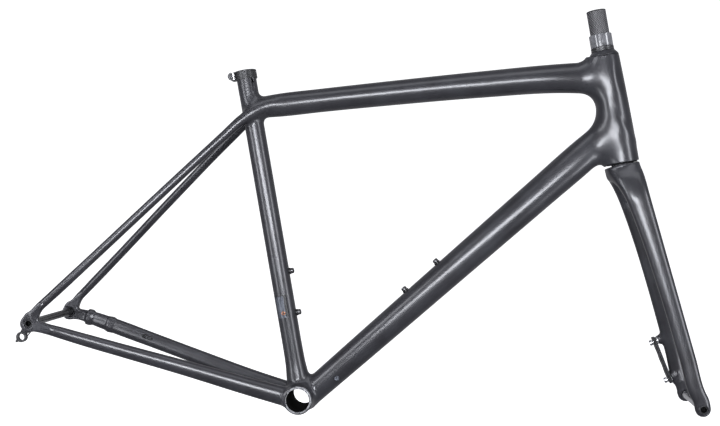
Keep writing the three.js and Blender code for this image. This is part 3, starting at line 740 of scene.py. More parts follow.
HEAD_LENGTH = 161
SEAT_TUBE_R = 14.8
HEAD_BORE_R, SEAT_BORE_R, SHELL_BORE_R = 18.4, 11.8, 18.6
CHAINSTAY_SLOPE = 0.19  # fall to the front
TUBE_BLEND, SEAT_BLEND, STAY_BLEND = 22, 11, 9  # how softly each joins the rest
BRAKE_BLOCKS = [middle("rear_brake_block_front"), middle("rear_brake_block_rear")]


DOWN = (0.663, 0.7486)  # the down tube's direction, forward and up


def down_centre(along):
    """The down tube's centre: it drops slightly forward as it thickens."""
    drop = 5.6 + 0.0092 * along
    return (DOWN[0] * along + DOWN[1] * drop, 0, DOWN[1] * along - DOWN[0] * drop)


def turned_loft(place, spots, edge=1.0):
    """A round bar along an axis: spots are (distance, radius)."""
    return Loft([(place(0, 0, along), radius, radius) for along, radius in spots], edge=edge)


def mirror(stations):
    return [((x, -y, z), high, wide) for (x, y, z), high, wide in stations]


def frame_field():
    field = Field()
    head = [(0, 22.6), (24, 23.3), (55, 24.1), (85, 24.7), (120, 25.2), (HEAD_LENGTH, 25.2)]
    field.join(OWNER["head_tube"], turned_loft(on_steering, head, 0.8))
    field.join(OWNER["top_tube"], Loft([
        ((-128, 0, 428.5), 15.0, 12.0),
        ((-84, 0, 438.9), 17.7, 15.0),
        ((-24, 0, 452.5), 17.9, 17.0),
        ((97, 0, 478.7), 18.7, 19.3),
        ((216, 0, 503.4), 19.9, 20.2),
        ((334, 0, 525.6), 22.0, 19.5),
        ((400, 0, 534.0), 25.0, 13.0),
    ], edge=6), TUBE_BLEND)
    field.join(OWNER["down_tube"], Loft([
        (down_centre(0), 19.0, 19.0),
        (down_centre(150), 20.7, 20.7),
        (down_centre(300), 22.0, 22.0),
        (down_centre(480), 23.6, 23.4),
        (down_centre(570), 24.2, 21.5),
        (down_centre(622), 22.0, 14.0),
    ], edge=6), TUBE_BLEND)
    seat = [(0, 18.3), (26, 17.6), (52, 15.4), (80, SEAT_TUBE_R)]
    seat += [(up, SEAT_TUBE_R) for up in (120, 300, 476)]
    field.join(OWNER["seat_tube"], turned_loft(on_seat, seat), SEAT_BLEND)
    half_shell = reach("bottom_bracket_shell", "Y")[1]
    field.join(
        OWNER["bottom_bracket_shell"],
        rod(-half_shell * SIDEWAYS, half_shell * SIDEWAYS, 21.8, edge=1.0), STAY_BLEND,
    )
    for name, side in (("seatstay_right", 1), ("seatstay_left", -1)):
        stations = [
            ((-70, 0, 441), 3.0, 3.0),
            ((-92, -6.0, 440), 7.4, 6.0),
            ((-112, -12.5, 430.0), 8.6, 7.0),
            ((-134, -18.0, 411), 7.8, 7.4),
            ((-160, -23.6, 380.5), 7.0, 6.9),
            ((-248, -43.2, 273.6), 6.6, 6.6),
            ((-328, -62.5, 174.6), 6.5, 6.5),
            ((-376, -73.2, 115.9), 6.4, 6.2),
            ((-390, -76.6, 99.0), 6.0, 4.8),
            ((-401, -78.0, 86.0), 4.0, 2.6),
        ]
        if side < 0:
            stations = mirror(stations)
        field.join(OWNER[name], Loft(stations, edge=3), STAY_BLEND)
    for name, extra in (("chainstay_right", 0.0), ("chainstay_left", 1.0)):
        sizes = [
            (-8, 20.0, -1.5, 14.6, 11.0, 0.0),
            (-73, 28.5, 9.8, 13.4, 10.0, 0.0),
            (-175, 46.0, 29.9, 11.3, 8.8, 0.4),
            (-260, 60.0, 45.6, 10.0, 8.0, 1.8),
            (-325, 70.0, 57.6, 9.2, 7.4, 2.8),
            (-366, 75.6, 65.4, 8.2, 6.2, 2.4),
            (-384, 77.6, 68.4, 7.2, 4.4, 1.6),
            (-398, 78.0, 70.8, 5.0, 2.6, 0.4),
        ]
        stations = [
            ((x, -y, z + extra * more / 2), high + extra * more, wide)
            for x, y, z, high, wide, more in sizes
        ]
        if extra:
            stations = mirror(stations)
        field.join(OWNER[name], Loft(stations, edge=3), STAY_BLEND)
    return field


def near_axle_circle(ahead, up, radius):
    return (REAR_AXLE[0] + ahead, REAR_AXLE[2] + up, radius)


def add_dropouts(field):
    ends = ((13.6, 27.4, 4.6), (30, -5.2, 5.6), (0, 9.5, 7.4))
    bars = [(near_axle_circle(0, 0, 11.2), near_axle_circle(*end)) for end in ends]
    for name in ("dropout_right", "dropout_left"):
        right, left = reach(name, "Y")
        field.join(OWNER[name], Web(bars, right, left, 2.2), 3.5)
    # Threaded blocks for the rear brake stand in collars round the left chainstay.
    for block in BRAKE_BLOCKS:
        lean = np.array((1, 0, -CHAINSTAY_SLOPE)) / math.hypot(1, CHAINSTAY_SLOPE)
        collar = Loft([(block - 5 * lean, 13.0, 7.6), (block + 5 * lean, 13.0, 7.6)], edge=4)
        field.join(OWNER["chainstay_left"], collar, 4)
        up = np.cross(lean, SIDEWAYS)
        field.cut(rod(block - 40 * up, block - 11.9 * up, 5.3))
        field.cut(rod(block + 11.9 * up, block + 40 * up, 5.3))


def cut_frame(field):
    # The left plate's inner face is hollowed around the axle, open to the rear.
    inner = reach("dropout_left", "Y")[0]
    hollow = [(near_axle_circle(1, 0, 8.4), near_axle_circle(-20, -3, 8.8))]
    field.cut(Web(hollow, inner - 10, inner + 3.2), 1.2)
    hole = reach("rear_thru_axle", "Z")
    radius = (hole[1] - hole[0]) / 2 + 0.4
    for side in (-SIDEWAYS, SIDEWAYS):
        field.cut(rod(REAR_AXLE + 60 * side, REAR_AXLE + 100 * side, radius))
    field.cut(rod(-40 * SIDEWAYS, 40 * SIDEWAYS, SHELL_BORE_R))
    head_ends = on_steering(0, 0, -5), on_steering(0, 0, HEAD_LENGTH + 5)
    field.cut(rod(*head_ends, HEAD_BORE_R))
    field.cut(rod(on_seat(0, 0, 380), on_seat(0, 0, 500), SEAT_BORE_R))


carbon = frame_field()
add_dropouts(carbon)
cut_frame(carbon)
STEP = 1.5  # the grid's spacing, mm
skins(carbon, FRAME_OWNERS, "frame", CARBON, STEP)


# ---- the fork's carbon -----------------------------------------------------------------

FORK_OWNERS = [
    "fork_crown", "fork_blade_right", "fork_blade_left", "fork_dropout_right",
    "fork_dropout_left",
]
FORK = {name: i + 1 for i, name in enumerate(FORK_OWNERS)}
FORK_AXLE_AHEAD = float(np.dot(FRONT_AXLE - HEAD_TOP, FORWARD))
FORK_AXLE_DOWN = float(-np.dot(FRONT_AXLE - HEAD_TOP, UP_AXIS))
CROWN_TOP = 163.2
BLADE_END = 508
TIP_SIDE, TIP_R, AXLE_HOLE_R = 57.2, 11.3, 6.4
LEG_CROWN_BLEND, LEG_BLEND = 9, 0.05


def blade_front(down):
    return 26.1 + 0.0885 * (down - 220)


def blade_depth(down):
    return 22.2 + 12 * math.exp((220 - down) / 95)


def blade_station(down):
    depth = blade_depth(down)
    share = (down - 214) / (BLADE_END - 214)
    aside, half_width = 35 + 22.2 * share, 10.5 - 3.7 * share
    return (blade_front(down) - depth / 2, -aside, down), depth / 2, half_width


def fork_field():
    field = Field()

    def local(stations, side=1):
        return [
            (on_steering(a, side * y, down), high, wide) for (a, y, down), high, wide in stations
        ]

    field.join(FORK["fork_crown"], Loft(local([
        ((-2.3, 0, CROWN_TOP), 25.2, 24.6),
        ((-1.6, 0, 176), 25.0, 25.2),
        ((1.5, 0, 192), 21.5, 25.0),
        ((4.0, 0, 204), 17.0, 22.0),
    ]), edge=1.0))
    for name, side in (("right", 1), ("left", -1)):
        leg = [
            ((0.0, -13, CROWN_TOP + 5), 22.0, 11.0),
            ((2.0, -21, 182), 22.3, 13.5),
            ((5.4, -29.0, 198), 19.8, 12.6),
        ]
        leg += [blade_station(down) for down in (214, 232, 262, 300, 350, 410, 460, BLADE_END)]
        end = FORK_AXLE_AHEAD, -TIP_SIDE, FORK_AXLE_DOWN
        leg.append(((end[0] - 0.6, end[1], end[2] - 12), TIP_R - 0.1, 6.9))
        # The tip is rounded about the axle.
        for past, half_width in ((0, 6.9), (4, 6.8), (7.5, 6.5), (9.8, 6.0), (11.0, 5.4)):
            high = math.sqrt(TIP_R**2 - past**2)
            leg.append(((end[0] + 0.09 * past, end[1], end[2] + past), high, half_width))
        split, tip = 0.142, 0.935
        for owner, part, soft in (
            ("fork_crown", (0, split + 0.02), LEG_CROWN_BLEND),
            (f"fork_blade_{name}", (split - 0.02, tip + 0.02), LEG_BLEND),
            (f"fork_dropout_{name}", (tip - 0.02, 1), LEG_BLEND),
        ):
            field.join(FORK[owner], Loft(local(leg, side), power=2.4, edge=1.5, part=part), soft)
        right, left = reach(f"fork_dropout_{name}", "Y")
        hole = [FRONT_AXLE + SIDEWAYS * y for y in (right - 20, left + 20)]
        field.cut(rod(*hole, AXLE_HOLE_R))
    for pad in ("front_brake_pad_upper", "front_brake_pad_lower"):
        at = middle(pad)
        field.join(
            FORK["fork_blade_left"], rod(at - 6 * PAD_OUT, at + 2 * PAD_OUT, 7.2, 6.6), 7
        )
    arch = [on_steering(a, 0, 210) for a in (-70, 70)]
    field.cut(Loft([(arch[0], 24, 23.5), (arch[1], 24, 23.5)], edge=1), 5)
    below = [on_steering(a, 0, 245) for a in (-70, 70)]
    field.cut(Loft([(below[0], 35, 23.5), (below[1], 35, 23.5)], power=6, edge=1), 5)
    above = [on_steering(0, 0, d) for d in (120, CROWN_TOP)]
    field.cut(Loft([(above[0], 60, 60), (above[1], 60, 60)], edge=0.8), 0.8)
    return field


pad_run = middle("front_brake_pad_lower") - middle("front_brake_pad_upper")
pad_run /= np.linalg.norm(pad_run)
PAD_OUT = np.cross(SIDEWAYS, pad_run)  # from the leg to the rear, square to the adapter
if np.dot(PAD_OUT, FORWARD) > 0:
    PAD_OUT = -PAD_OUT
skins(fork_field(), FORK_OWNERS, "fork", CARBON, STEP)


# ---- small metal and rubber parts ------------------------------------------------------

RIGHT = -SIDEWAYS  # towards the drive side
GAP = 0.3


def merged(name, *parts):
    """One mesh object made of several closed parts."""
    bm = bmesh.new()
    for part in parts:
        bm.from_mesh(part.data)
        bpy.data.objects.remove(part)
    return from_bmesh(name, bm)


def plain(u, v, depth):
    return np.array((u, depth, v))


def beside_seat(u, v, depth):
    """Places a side-view outline by its distances ahead of and along the seat tube."""
    return on_seat(u, depth, v)


def flat(point):
    return point[0], point[2]


def dress(material, *names):
    """A CAD node that stays in view takes one of the procedural materials."""
    for name in names:
        mesh = frame["nodes"][name].data
        mesh.materials.clear()
        mesh.materials.append(material)


def polar(radius, degrees):
    """(ahead, side) on a circle; 0 degrees faces the drive side and 90 the front."""
    angle = math.radians(degrees)
    return radius * math.sin(angle), -radius * math.cos(angle)


def patch(name, inside, outside, start, end, place, low, high):
    """Part of a ring between two angles, extruded along the place's third direction."""
    count = max(3, int(abs(end - start) / 4))
    angles = np.linspace(start, end, count)
    outline = [polar(outside, a) for a in angles] + [polar(inside, a) for a in angles[::-1]]
    return slab(name, outline, place, low, high)


def hex_screw(name, radius, height, socket, at, axis, shank=(0, 0), dome=0.8):
    """A socket screw, standing on a point; the shank is (radius, depth)."""
    profile = [
        (0, -shank[1]),
        (shank[0], -shank[1]),
        (shank[0], 0),
        (radius, 0),
        (radius, height - dome),
        (radius - 0.35 * dome, height - 0.3 * dome),
        (radius - dome, height),
        (socket + 0.5, height),
        (socket + 0.15, height - 0.3, 6),
        (socket, height - 0.4 * radius - 1, 6),
        (0, height - 0.4 * radius - 1.6),
    ]
    if not shank[1]:
        profile = [(0, 0)] + profile[3:]
    return turned(name, profile, at, axis)


def headset():
    cap = turned("headset_cap_ring", [
        (15.2, 0.6), (22.2, 0.5), (22.6, 1.1), (22.3, 1.9), (21.4, 2.2), (21.3, 2.9),
        (21.6, 3.1), (19.2, 6.3), (18.2, 7.4), (17.6, 8.0), (15.2, 8.0),
    ], HEAD_TOP, UP_AXIS, 72)
    show(cap, "fork", "satin_carbon", CARBON, "headset_cap")
    spacer = turned("thin_spacer_ring", [
        (14.7, 8.4), (16.8, 8.4), (17.2, 8.8), (17.2, 10.6), (16.5, 10.9), (16.5, 11.5),
        (17.2, 11.8), (17.2, 13.8), (16.8, 14.2), (14.7, 14.2),
    ], HEAD_TOP, UP_AXIS, 72)
    show(spacer, "fork", "black_alloy", SATIN_ALLOY, "thin_spacer")
    collar = turned("steerer_collar_tube", [
        (14.6, 14.7), (16.3, 14.7), (16.9, 15.3), (16.9, 32.9), (16.4, 33.5), (14.6, 33.5),
    ], HEAD_TOP, UP_AXIS, 96)
    show(collar, "fork", "gloss_carbon", GLOSS, "steerer_collar")
    bore, wall = 11.2, 14.3
    foot, rim_low, top = -HEAD_LENGTH - 3.6, 68.2, 70
    tube = turned("steerer_tube_wall", [
        (bore, foot), (16.4, foot), (16.4, foot + 14), (wall, foot + 26), (wall, rim_low),
        (bore, rim_low),
    ], HEAD_TOP, UP_AXIS, 96)
    show(tube, "fork", "raw_carbon", WOVEN, "steerer_tube")
    rim = turned("steerer_tube_rim", [
        (bore, rim_low), (wall, rim_low), (wall + 0.05, top - 0.6), (wall - 0.5, top),
        (bore + 0.6, top), (bore, top - 0.6),
    ], HEAD_TOP, UP_AXIS, 96)
    show(rim, "fork", "raw_carbon", RUBBER)
    dress(
        BEARING_STEEL, "upper_bearing_outer_race", "upper_bearing_inner_race",
        "lower_bearing_outer_race", "lower_bearing_inner_race",
    )
    dress(BRIGHT_STEEL, "upper_bearing_ball_ring", "lower_bearing_ball_ring")
    dress(BLACK_ALLOY, "compression_ring")
    # The crown race takes the near-black material: painted shade for the gap under the head tube.
    dress(SHADE_BLACK, "crown_race")


CLAMP_LOW, CLAMP_TOP = 492.4, 505.6
EAR_BACK, EAR_UP = -20, 499.5


def seat_clamp():
    """A split band with raised ribs round it, and two ears drawn together by a bolt."""
    band = [(15.15, CLAMP_LOW), (16.6, CLAMP_LOW), (17, CLAMP_LOW + 0.5)]
    for low, high in ((1.9, 5.2), (7.2, 10.6)):
        band += [
            (17, CLAMP_LOW + low), (16.2, CLAMP_LOW + low + 0.5),
            (16.2, CLAMP_LOW + high - 0.5), (17, CLAMP_LOW + high),
        ]
    band += [(17, CLAMP_TOP - 0.9), (16.3, CLAMP_TOP), (15.15, CLAMP_TOP)]
    parts = [turned("band", band, (0, 0, 0), UP_AXIS, 96)]
    for turn in (-62, -27, -4, 36, 58, 92, 126, 160, 194, 228):
        wide = 15 if turn == -4 else 5
        parts.append(patch(
            "rib", 15.6, 17.05, turn - wide / 2, turn + wide / 2, on_seat,
            CLAMP_LOW + 0.4, CLAMP_TOP - 0.6,
        ))
    for side in (-1, 1):
        ends = sorted((1.6 * side, 11 * side))
        centre = (EAR_BACK, EAR_UP)
        ear = arc(centre, 6, 75, 285, 24) + [(-14, EAR_UP - 5.8), (-14, EAR_UP + 5.8)]
        parts.append(bevel(slab("ear", ear, beside_seat, *ends), 0.7))
        # Grip ridges across the ear's face.
        for lean in (-3.6, -1.2, 1.2, 3.6):
            half = math.sqrt(5.2**2 - lean**2)
            face, at = 11 * side, EAR_BACK - 1 + lean
            ridge = rectangle(at - 0.4, at + 0.4, EAR_UP - half, EAR_UP + half)
            depth = sorted((face - 0.2 * side, face + 0.5 * side))
            parts.append(slab("ridge", ridge, beside_seat, *depth))
    clamp = merged("seat_clamp_band", *parts)
    show(clamp, "frame", "black_alloy", SATIN_ALLOY, "seat_clamp")
    strips = []
    for side in (-1, 1):
        strip = rectangle(-17.9, -16.1, EAR_UP - 6, EAR_UP + 6)
        strips.append(slab("strip", strip, beside_seat, *sorted((10.4 * side, 11.7 * side))))
    show(merged("seat_clamp_wedge_plates", *strips), "frame", "silver_alloy", SILVER_ALLOY)
    bolt = hex_screw(
        "seat_clamp_screw", 3.6, 2.6, 1.9, on_seat(EAR_BACK, -9.0, EAR_UP), RIGHT, (2.2, 16)
    )
    show(bolt, "frame", "black_steel", BLACK_STEEL, "seat_clamp_bolt")
    nut = turned("seat_clamp_barrel_nut", [
        (2.7, 0), (3.9, 0), (4.3, 0.4), (4.3, 3.2), (3.9, 3.6), (2.7, 3.6),
    ], on_seat(EAR_BACK, 6.9, EAR_UP), SIDEWAYS)
    show(nut, "frame", "silver_alloy", SILVER_ALLOY, "seat_clamp_nut")


def seat_tube_mouth():
    """The tube's open end, with the relief slot that ends in a keyhole."""
    mouth = turned("seat_tube_mouth", [
        (13.6, 470), (14.98, 470), (14.98, 504.4), (14.6, 504.8), (13.9, 504.8), (13.6, 504.4),
    ], (0, 0, 0), UP_AXIS, 96)
    ahead, side = polar(14.3, 45)
    outward = FORWARD * ahead + SIDEWAYS * side
    outward /= np.linalg.norm(outward)
    across = np.cross(outward, UP_AXIS)

    def face_on(u, v, depth):
        return across * u + UP_AXIS * v + outward * depth

    foot = 486.2
    keyhole = arc((0, foot), 2.1, 125, 415, 20) + [(1.2, 520), (-1.2, 520)]
    subtract(mouth, slab("keyhole", keyhole, face_on, 8, 20))
    show(mouth, "frame", "satin_carbon", CARBON)


def bottom_bracket():
    half = 34
    sleeve = turned("bottom_bracket_sleeve_rings", [
        (17.7, -half), (19.9, -half), (20.3, -half + 0.4), (20.3, half - 0.4), (19.9, half),
        (17.7, half),
    ], (0, 0, 0), SIDEWAYS, 96)
    show(sleeve, "frame", "silver_alloy", SILVER_ALLOY, "bottom_bracket_sleeve")
    threads = [(17.65, -half + 0.5)]
    pitch = 1.4
    crest = -half + 0.9
    while crest < half - 1:
        threads += [(17.25, crest), (16.95, crest + pitch / 2)]
        crest += pitch
    threads += [(17.65, half - 0.5)]
    # The threads take the near-black material: painted shade inside the shell's bore.
    bore = turned("bottom_bracket_thread", threads, (0, 0, 0), SIDEWAYS, 72)
    show(bore, "frame", "black_alloy", SHADE_BLACK)


BOSS_COLLAR = 2.6
BOSS_UP = (128, 192)
BOSS_ALONG = (228, 292)


def bottle_boss(name, at, out):
    collar = turned(f"{name}_boss_collar", [
        (2.6, -5.8), (3.4, -5.8), (3.4, 0), (5, 0.2), (5, BOSS_COLLAR - 0.5),
        (4.6, BOSS_COLLAR), (2.6, BOSS_COLLAR),
    ], at, out)
    show(collar, "frame", "black_alloy", BLACK_ALLOY, f"{name}_boss")
    stand = np.array(at) + out * (BOSS_COLLAR + GAP)
    bolt = hex_screw(f"{name}_bolt_head", 4.3, 4.5, 2.0, stand, out, (1.9, 8), 1.6)
    show(bolt, "frame", "black_steel", BLACK_STEEL, f"{name}_bolt")


def bottle_bosses():
    across = np.array((-DOWN[1], 0, DOWN[0]))
    for name, along in zip(("lower", "upper"), BOSS_ALONG):
        surface = np.array(down_centre(along)) + across * (19.4 + 0.0088 * along)
        bottle_boss(f"down_tube_{name}", surface, across)
    for name, up in zip(("lower", "upper"), BOSS_UP):
        bottle_boss(f"seat_tube_{name}", on_seat(SEAT_TUBE_R, 0, up), FORWARD)


def derailleur_bracket():
    low, high = 124, 158
    plate = bevel(patch("plate", 15.05, 16.7, -44, 6, on_seat, low, high - 1.2), 0.4)
    edge = patch("edge", 15.05, 17.0, -46, 7, on_seat, high - 1.2, high)
    outline = [(1.6, -18.1), (5.8, -17.7), (6.0, -14.1), (1.6, -15.0)]
    rail = bevel(slab("rail", outline, on_seat, low + 2, high), 0.35)
    teeth = []
    for i in range(6):
        at = low + 5.5 + 5 * i
        tooth = [(1.4, -18.3), (3.0, -18.15), (3.0, -17.2), (1.4, -17.4)]
        teeth.append(slab("tooth", tooth, on_seat, at, at + 2.2))
    show(
        merged("front_derailleur_mount_plate", plate), "frame", "black_alloy", GREY_PLATE,
        "front_derailleur_bracket",
    )
    show(
        merged("front_derailleur_mount_rail", edge, rail, *teeth), "frame", "black_alloy",
        BLACK_ALLOY,
    )
    screw = hex_screw(
        "front_derailleur_mount_screw", 2.9, 1.4, 1.3, on_seat(-2, -16.7, 131), RIGHT,
        (2.1, 6), 0.5,
    )
    show(screw, "frame", "copper", COPPER, "front_derailleur_screw")


def hanger():
    eye = REAR_AXLE + np.array((-9.6, 0, -21.6))
    right, left = reach("derailleur_hanger", "Y")
    thin = (left - 3.4, left)
    screw_at = REAR_AXLE + np.array((17.2, 0, -3))
    stop_at = REAR_AXLE + np.array((-15.6, 0, -28.4))
    arm_top = REAR_AXLE + np.array((-2, 0, -6))
    parts = [
        slab("plate", link_outline(flat(REAR_AXLE), 10, flat(screw_at), 5.4), plain, *thin),
        slab("arm", link_outline(flat(arm_top), 7.5, flat(eye), 5.6), plain, *thin),
        slab("stop", link_outline(flat(eye), 4, flat(stop_at), 1.8), plain, right + 0.4, left),
    ]
    ring = turned("eye", [
        (4.8, 0.4), (5.2, 0), (7.3, 0), (7.8, 0.5), (7.8, 6.6), (7.4, 7.0), (5.2, 7.0),
        (4.8, 6.6),
    ], (eye[0], right, eye[2]), SIDEWAYS, 48)
    body = combine(parts[0], "UNION", *parts[1:])
    holes = [(REAR_AXLE, 6.3), (eye, 4.9), (screw_at, 2.3)]
    tools = [
        turned("hole", [(0, 0), (r, 0), (r, 30), (0, 30)], (p[0], right - 8, p[2]), SIDEWAYS, 40)
        for p, r in holes
    ]
    slit_from = eye + np.array((6.4, 0, 3.4))
    slit_to = eye + np.array((8.4, 0, 6.2))
    slit = link_outline(flat(slit_from), 0.9, flat(slit_to), 0.9)
    tools.append(slab("slit", slit, plain, right - 5, left + 5))
    bevel(subtract(body, *tools), 0.35)
    piece = merged("derailleur_hanger_plate", body, ring)
    show(piece, "frame", "black_alloy", SATIN_ALLOY, "derailleur_hanger")
    outer = reach("dropout_right", "Y")[0]
    screw = hex_screw(
        "hanger_fixing_screw", 3.5, 1.6, 1.6, (screw_at[0], outer + 1.8, screw_at[2]), RIGHT,
        (1.9, 7), 0.4,
    )
    show(screw, "frame", "black_steel", BLACK_STEEL, "hanger_screw")


def rear_brake_blocks():
    lean = np.array((CHAINSTAY_SLOPE, 0, 1)) / math.hypot(1, CHAINSTAY_SLOPE)
    for name, block in zip(("front", "rear"), BRAKE_BLOCKS):
        post = turned(f"rear_brake_block_{name}_post", [
            (2.5, -12.3), (4.7, -12.3), (5.1, -11.9), (5.1, 11.9), (4.7, 12.3), (2.5, 12.3),
        ], block, lean, 40)
        show(post, "frame", "black_alloy", BLACK_ALLOY, f"rear_brake_block_{name}")


def stadium(centre, length, height, tilt):
    reach_out = (length - height) / 2
    ends = [
        (
            centre[0] + s * reach_out * math.cos(tilt),
            centre[1] - s * reach_out * math.sin(tilt),
        )
        for s in (-1, 1)
    ]
    return link_outline(ends[0], height / 2, ends[1], height / 2 - 0.001)


def ports():
    tilt = math.atan(CHAINSTAY_SLOPE)
    centre = (-264, 50.3)
    lip = slab("hose_port_ring", stadium(centre, 18, 6, tilt), plain, 50.6, 56)
    subtract(lip, slab("hole", stadium(centre, 14.6, 3, tilt), plain, 45, 60))
    show(bevel(lip, 0.5), "frame", "black_rubber", RUBBER, "hose_port_lip")
    # The black rubber plug takes the lighter grey plate material: a painted highlight for the
    # small light dot on it.
    plug = turned("cable_port_plug_cap", [
        (0, 0), (3.6, 0), (3.6, 3.9), (3.1, 4.4), (1.9, 4.4), (1.5, 4.0), (0, 4.0),
    ], (53, -16.2, 38), RIGHT)
    show(plug, "frame", "black_rubber", GREY_PLATE, "cable_port_plug")


def front_brake_mount():
    """The adapter plate on two pads behind the left leg, with its silver screws."""
    plate_low, plate_high = (middle(f"adapter_bolt_{n}") for n in ("lower", "upper"))
    along = (plate_low - plate_high) / np.linalg.norm(plate_low - plate_high)
    centre = middle("brake_adapter")
    half, wide, thick = 37, 10, 5

    def on_plate(u, v, depth):
        return centre + along * u + SIDEWAYS * v + PAD_OUT * depth

    outline = []
    for u in np.linspace(-half, half, 60):
        outline.append((u, wide - 1.5 + 1.5 * math.cos(2 * math.pi * u / 21)))
    outline += [(u, -wide) for u in np.linspace(half, -half, 12)]
    plate = slab("plate", outline, on_plate, -thick / 2 - 0.4, thick / 2 - 0.4)
    subtract(plate, slab("slit", rectangle(-21, 21, -2.2, 2.2), on_plate, -10, 10))
    bevel(plate, 0.9)
    show(plate, "fork", "black_alloy", BLACK_ALLOY, "brake_adapter")
    for name in ("upper", "lower"):
        pad = middle(f"front_brake_pad_{name}")
        stub = turned(f"front_brake_pad_{name}_insert", [
            (2.5, -5.5), (6.0, -5.5), (6.0, 2.6), (5.6, 3.0), (2.5, 3.0),
        ], pad + PAD_OUT * 1.8, PAD_OUT, 40)
        show(stub, "fork", "silver_alloy", SILVER_ALLOY, f"front_brake_pad_{name}")
        bolt = middle(f"adapter_bolt_{name}")
        head = hex_screw(
            f"adapter_bolt_{name}_screw", 4.3, 4.2, 2.0, bolt + PAD_OUT * 3.2, PAD_OUT,
            (2.0, 9), 0.8,
        )
        show(head, "fork", "bright_steel", BRIGHT_STEEL, f"adapter_bolt_{name}")


def axle_inserts():
    """Thin rings set into the outer faces of the dropouts, round the axle holes."""
    for wheel, at, owner, body in (
        ("rear", REAR_AXLE, "dropout", "frame"), ("front", FRONT_AXLE, "fork_dropout", "fork"),
    ):
        rings = []
        for side, out in (("right", RIGHT), ("left", SIDEWAYS)):
            limits = reach(f"{owner}_{side}", "Y")
            face = limits[0] if side == "right" else limits[1]
            centre = np.array((at[0], face, at[2]))
            rings.append(turned("insert", [
                (6.15, -4.5), (7.2, -4.5), (7.2, -0.1), (6.8, 0.2), (6.4, 0.2), (6.15, -0.1),
            ], centre, out, 64))
        show(merged(f"{wheel}_axle_hole_rings", *rings), body, "satin_carbon", CARBON)


def thru_axle(wheel, at, inner, material, slot_name):
    """A thru axle with a slimmer waist and a hollow bore, lined with painted shade."""
    name, body, node = f"{wheel}_thru_axle_rod", f"{wheel}_axle", f"{wheel}_thru_axle"
    right, left = reach(node, "Y")
    end, waist, bore, mouth, depth = 6.0, 5.7, 3.2, 4.8, 9.0
    rod_piece = turned(name, [
        (bore, right + depth), (mouth, right + depth), (mouth, right), (end - 0.5, right),
        (end, right + 0.5), (end, 6 - inner), (waist, 8 - inner), (waist, inner - 12),
        (end, inner - 11), (end, left - 0.5), (end - 0.5, left), (3.3, left),
        (3.1, left - 4, 6), (bore, left - 6),
    ], (at[0], 0, at[2]), SIDEWAYS, 48)
    show(rod_piece, body, slot_name, material, node)
    # A near-black cup in the bore's mouth: painted shade, so that the steel bore reads dark.
    liner = turned(f"{name}_painted_shade_liner", [
        (0, right + depth - 0.8), (mouth - 0.5, right + depth - 0.8), (mouth - 0.5, right + 0.1),
        (mouth - 0.05, right + 0.1), (mouth - 0.05, right + depth + 0.6),
        (0, right + depth + 0.6),
    ], (at[0], 0, at[2]), SIDEWAYS)
    show(liner, body, slot_name, SHADE_BLACK)
    face = turned(f"{name}_face", [
        (mouth - 0.1, right - 0.15), (end - 0.3, right - 0.15), (end - 0.3, right + 0.3),
        (mouth - 0.1, right + 0.3),
    ], (at[0], 0, at[2]), SIDEWAYS)
    show(face, body, slot_name, SATIN_ALLOY)


headset()
seat_clamp()
seat_tube_mouth()
bottom_bracket()
bottle_bosses()
derailleur_bracket()
hanger()
rear_brake_blocks()
ports()
front_brake_mount()
axle_inserts()
thru_axle("rear", REAR_AXLE, 71, BLACK_STEEL, "black_steel")
thru_axle("front", FRONT_AXLE, 50, BRIGHT_STEEL, "bright_steel")


# ---- camera, light and stage -----------------------------------------------------------

CAMERA_AT = (0.2061, -1.4981, 0.3294)
CAMERA_TURN = (89.093, -6.664, 3.431)  # degrees; the roll tips the bicycle nose down
LENS, SHIFT = 49.35, (-0.0575, -0.0083)
COOL = (0.93, 0.95, 1.0)
WORLD_STRENGTH = 0.38
MIDDLE_X = 0.1


def make_camera():
    data = bpy.data.cameras.new("camera")
    data.sensor_width = 36
    data.lens = LENS
    data.shift_x, data.shift_y = SHIFT
    data.clip_end = 100
    camera = linked("camera", data)
    camera.location = CAMERA_AT
    camera.rotation_euler = [math.radians(a) for a in CAMERA_TURN]
    bpy.context.scene.camera = camera


def softbox(name, at, aim, width, height, power):
    data = bpy.data.lights.new(name, "AREA")
    data.shape = "RECTANGLE"
    data.size, data.size_y = width, height
    data.energy = power
    data.color = COOL
    light = linked(name, data)
    light.location = at
    light.rotation_euler = (Vector(aim) - Vector(at)).to_track_quat("-Z", "Y").to_euler()


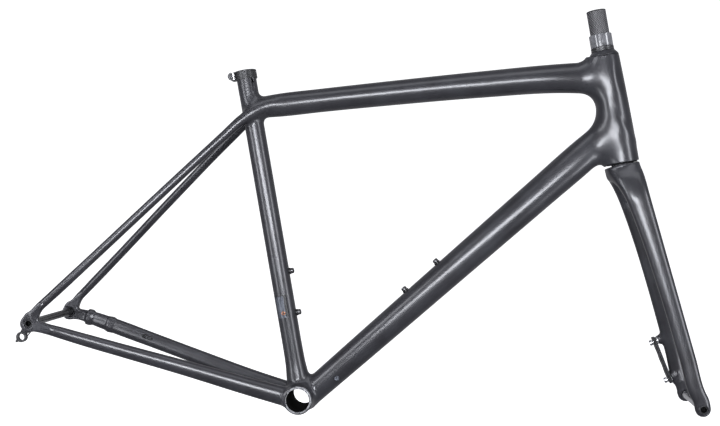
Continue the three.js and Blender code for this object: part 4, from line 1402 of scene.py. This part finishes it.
def glow(name):
    """A white surface for the stage that looks the same whatever the light."""
    material = bpy.data.materials.new(name)
    material.use_nodes = True
    surface = material.node_tree.nodes["Principled BSDF"]
    surface.inputs["Base Color"].default_value = (1, 1, 1, 1)
    surface.inputs["Emission Color"].default_value = (1, 1, 1, 1)
    surface.inputs["Emission Strength"].default_value = 1.0
    return material


def make_stage():
    centre = (cad_low + cad_high) / 2
    bm = bmesh.new()
    bmesh.ops.create_circle(bm, cap_ends=True, radius=30, segments=64)
    floor = closed("floor", bm)
    floor.location = (centre.x, centre.y, cad_low.z - 0.35)
    floor.data.materials.append(glow("pale_floor"))
    bm = bmesh.new()
    bmesh.ops.create_uvsphere(bm, u_segments=48, v_segments=24, radius=29)
    backdrop = closed("backdrop", bm)
    backdrop.location = centre
    backdrop.data.materials.append(glow("white_backdrop"))
    for piece in (floor, backdrop):
        piece.visible_diffuse = False
        piece.visible_glossy = False
        piece.visible_shadow = False
        piece.visible_transmission = False
    world = bpy.data.worlds.new("studio")
    world.use_nodes = True
    nodes, links = world.node_tree.nodes, world.node_tree.links
    background = nodes["Background"]
    background.inputs["Strength"].default_value = WORLD_STRENGTH
    coordinates = nodes.new("ShaderNodeTexCoord")
    parts = nodes.new("ShaderNodeSeparateXYZ")
    links.new(coordinates.outputs["Generated"], parts.inputs["Vector"])
    room = ramp(
        nodes, links, parts.outputs["Y"],
        [(0.0, (0.45, 0.47, 0.52)), (0.8, (1.0, 1.0, 1.05))],
    )
    links.new(room, background.inputs["Color"])
    bpy.context.scene.world = world


make_camera()
make_stage()
softbox("key", (0.03, -1.8, 0.42), (0.03, 0, 0.35), 1.15, 0.34, 36)
softbox("overhead", (MIDDLE_X, -0.9, 2.2), (MIDDLE_X, 0, 0.3), 2.6, 0.8, 12)
softbox("left_side", (-1.5, -1.3, 0.4), (MIDDLE_X, 0, 0.3), 0.4, 2.0, 22)
softbox("right_side", (1.8, -1.1, 0.4), (MIDDLE_X, 0, 0.3), 0.4, 2.0, 26)
bpy.context.scene.view_settings.view_transform = "Standard"
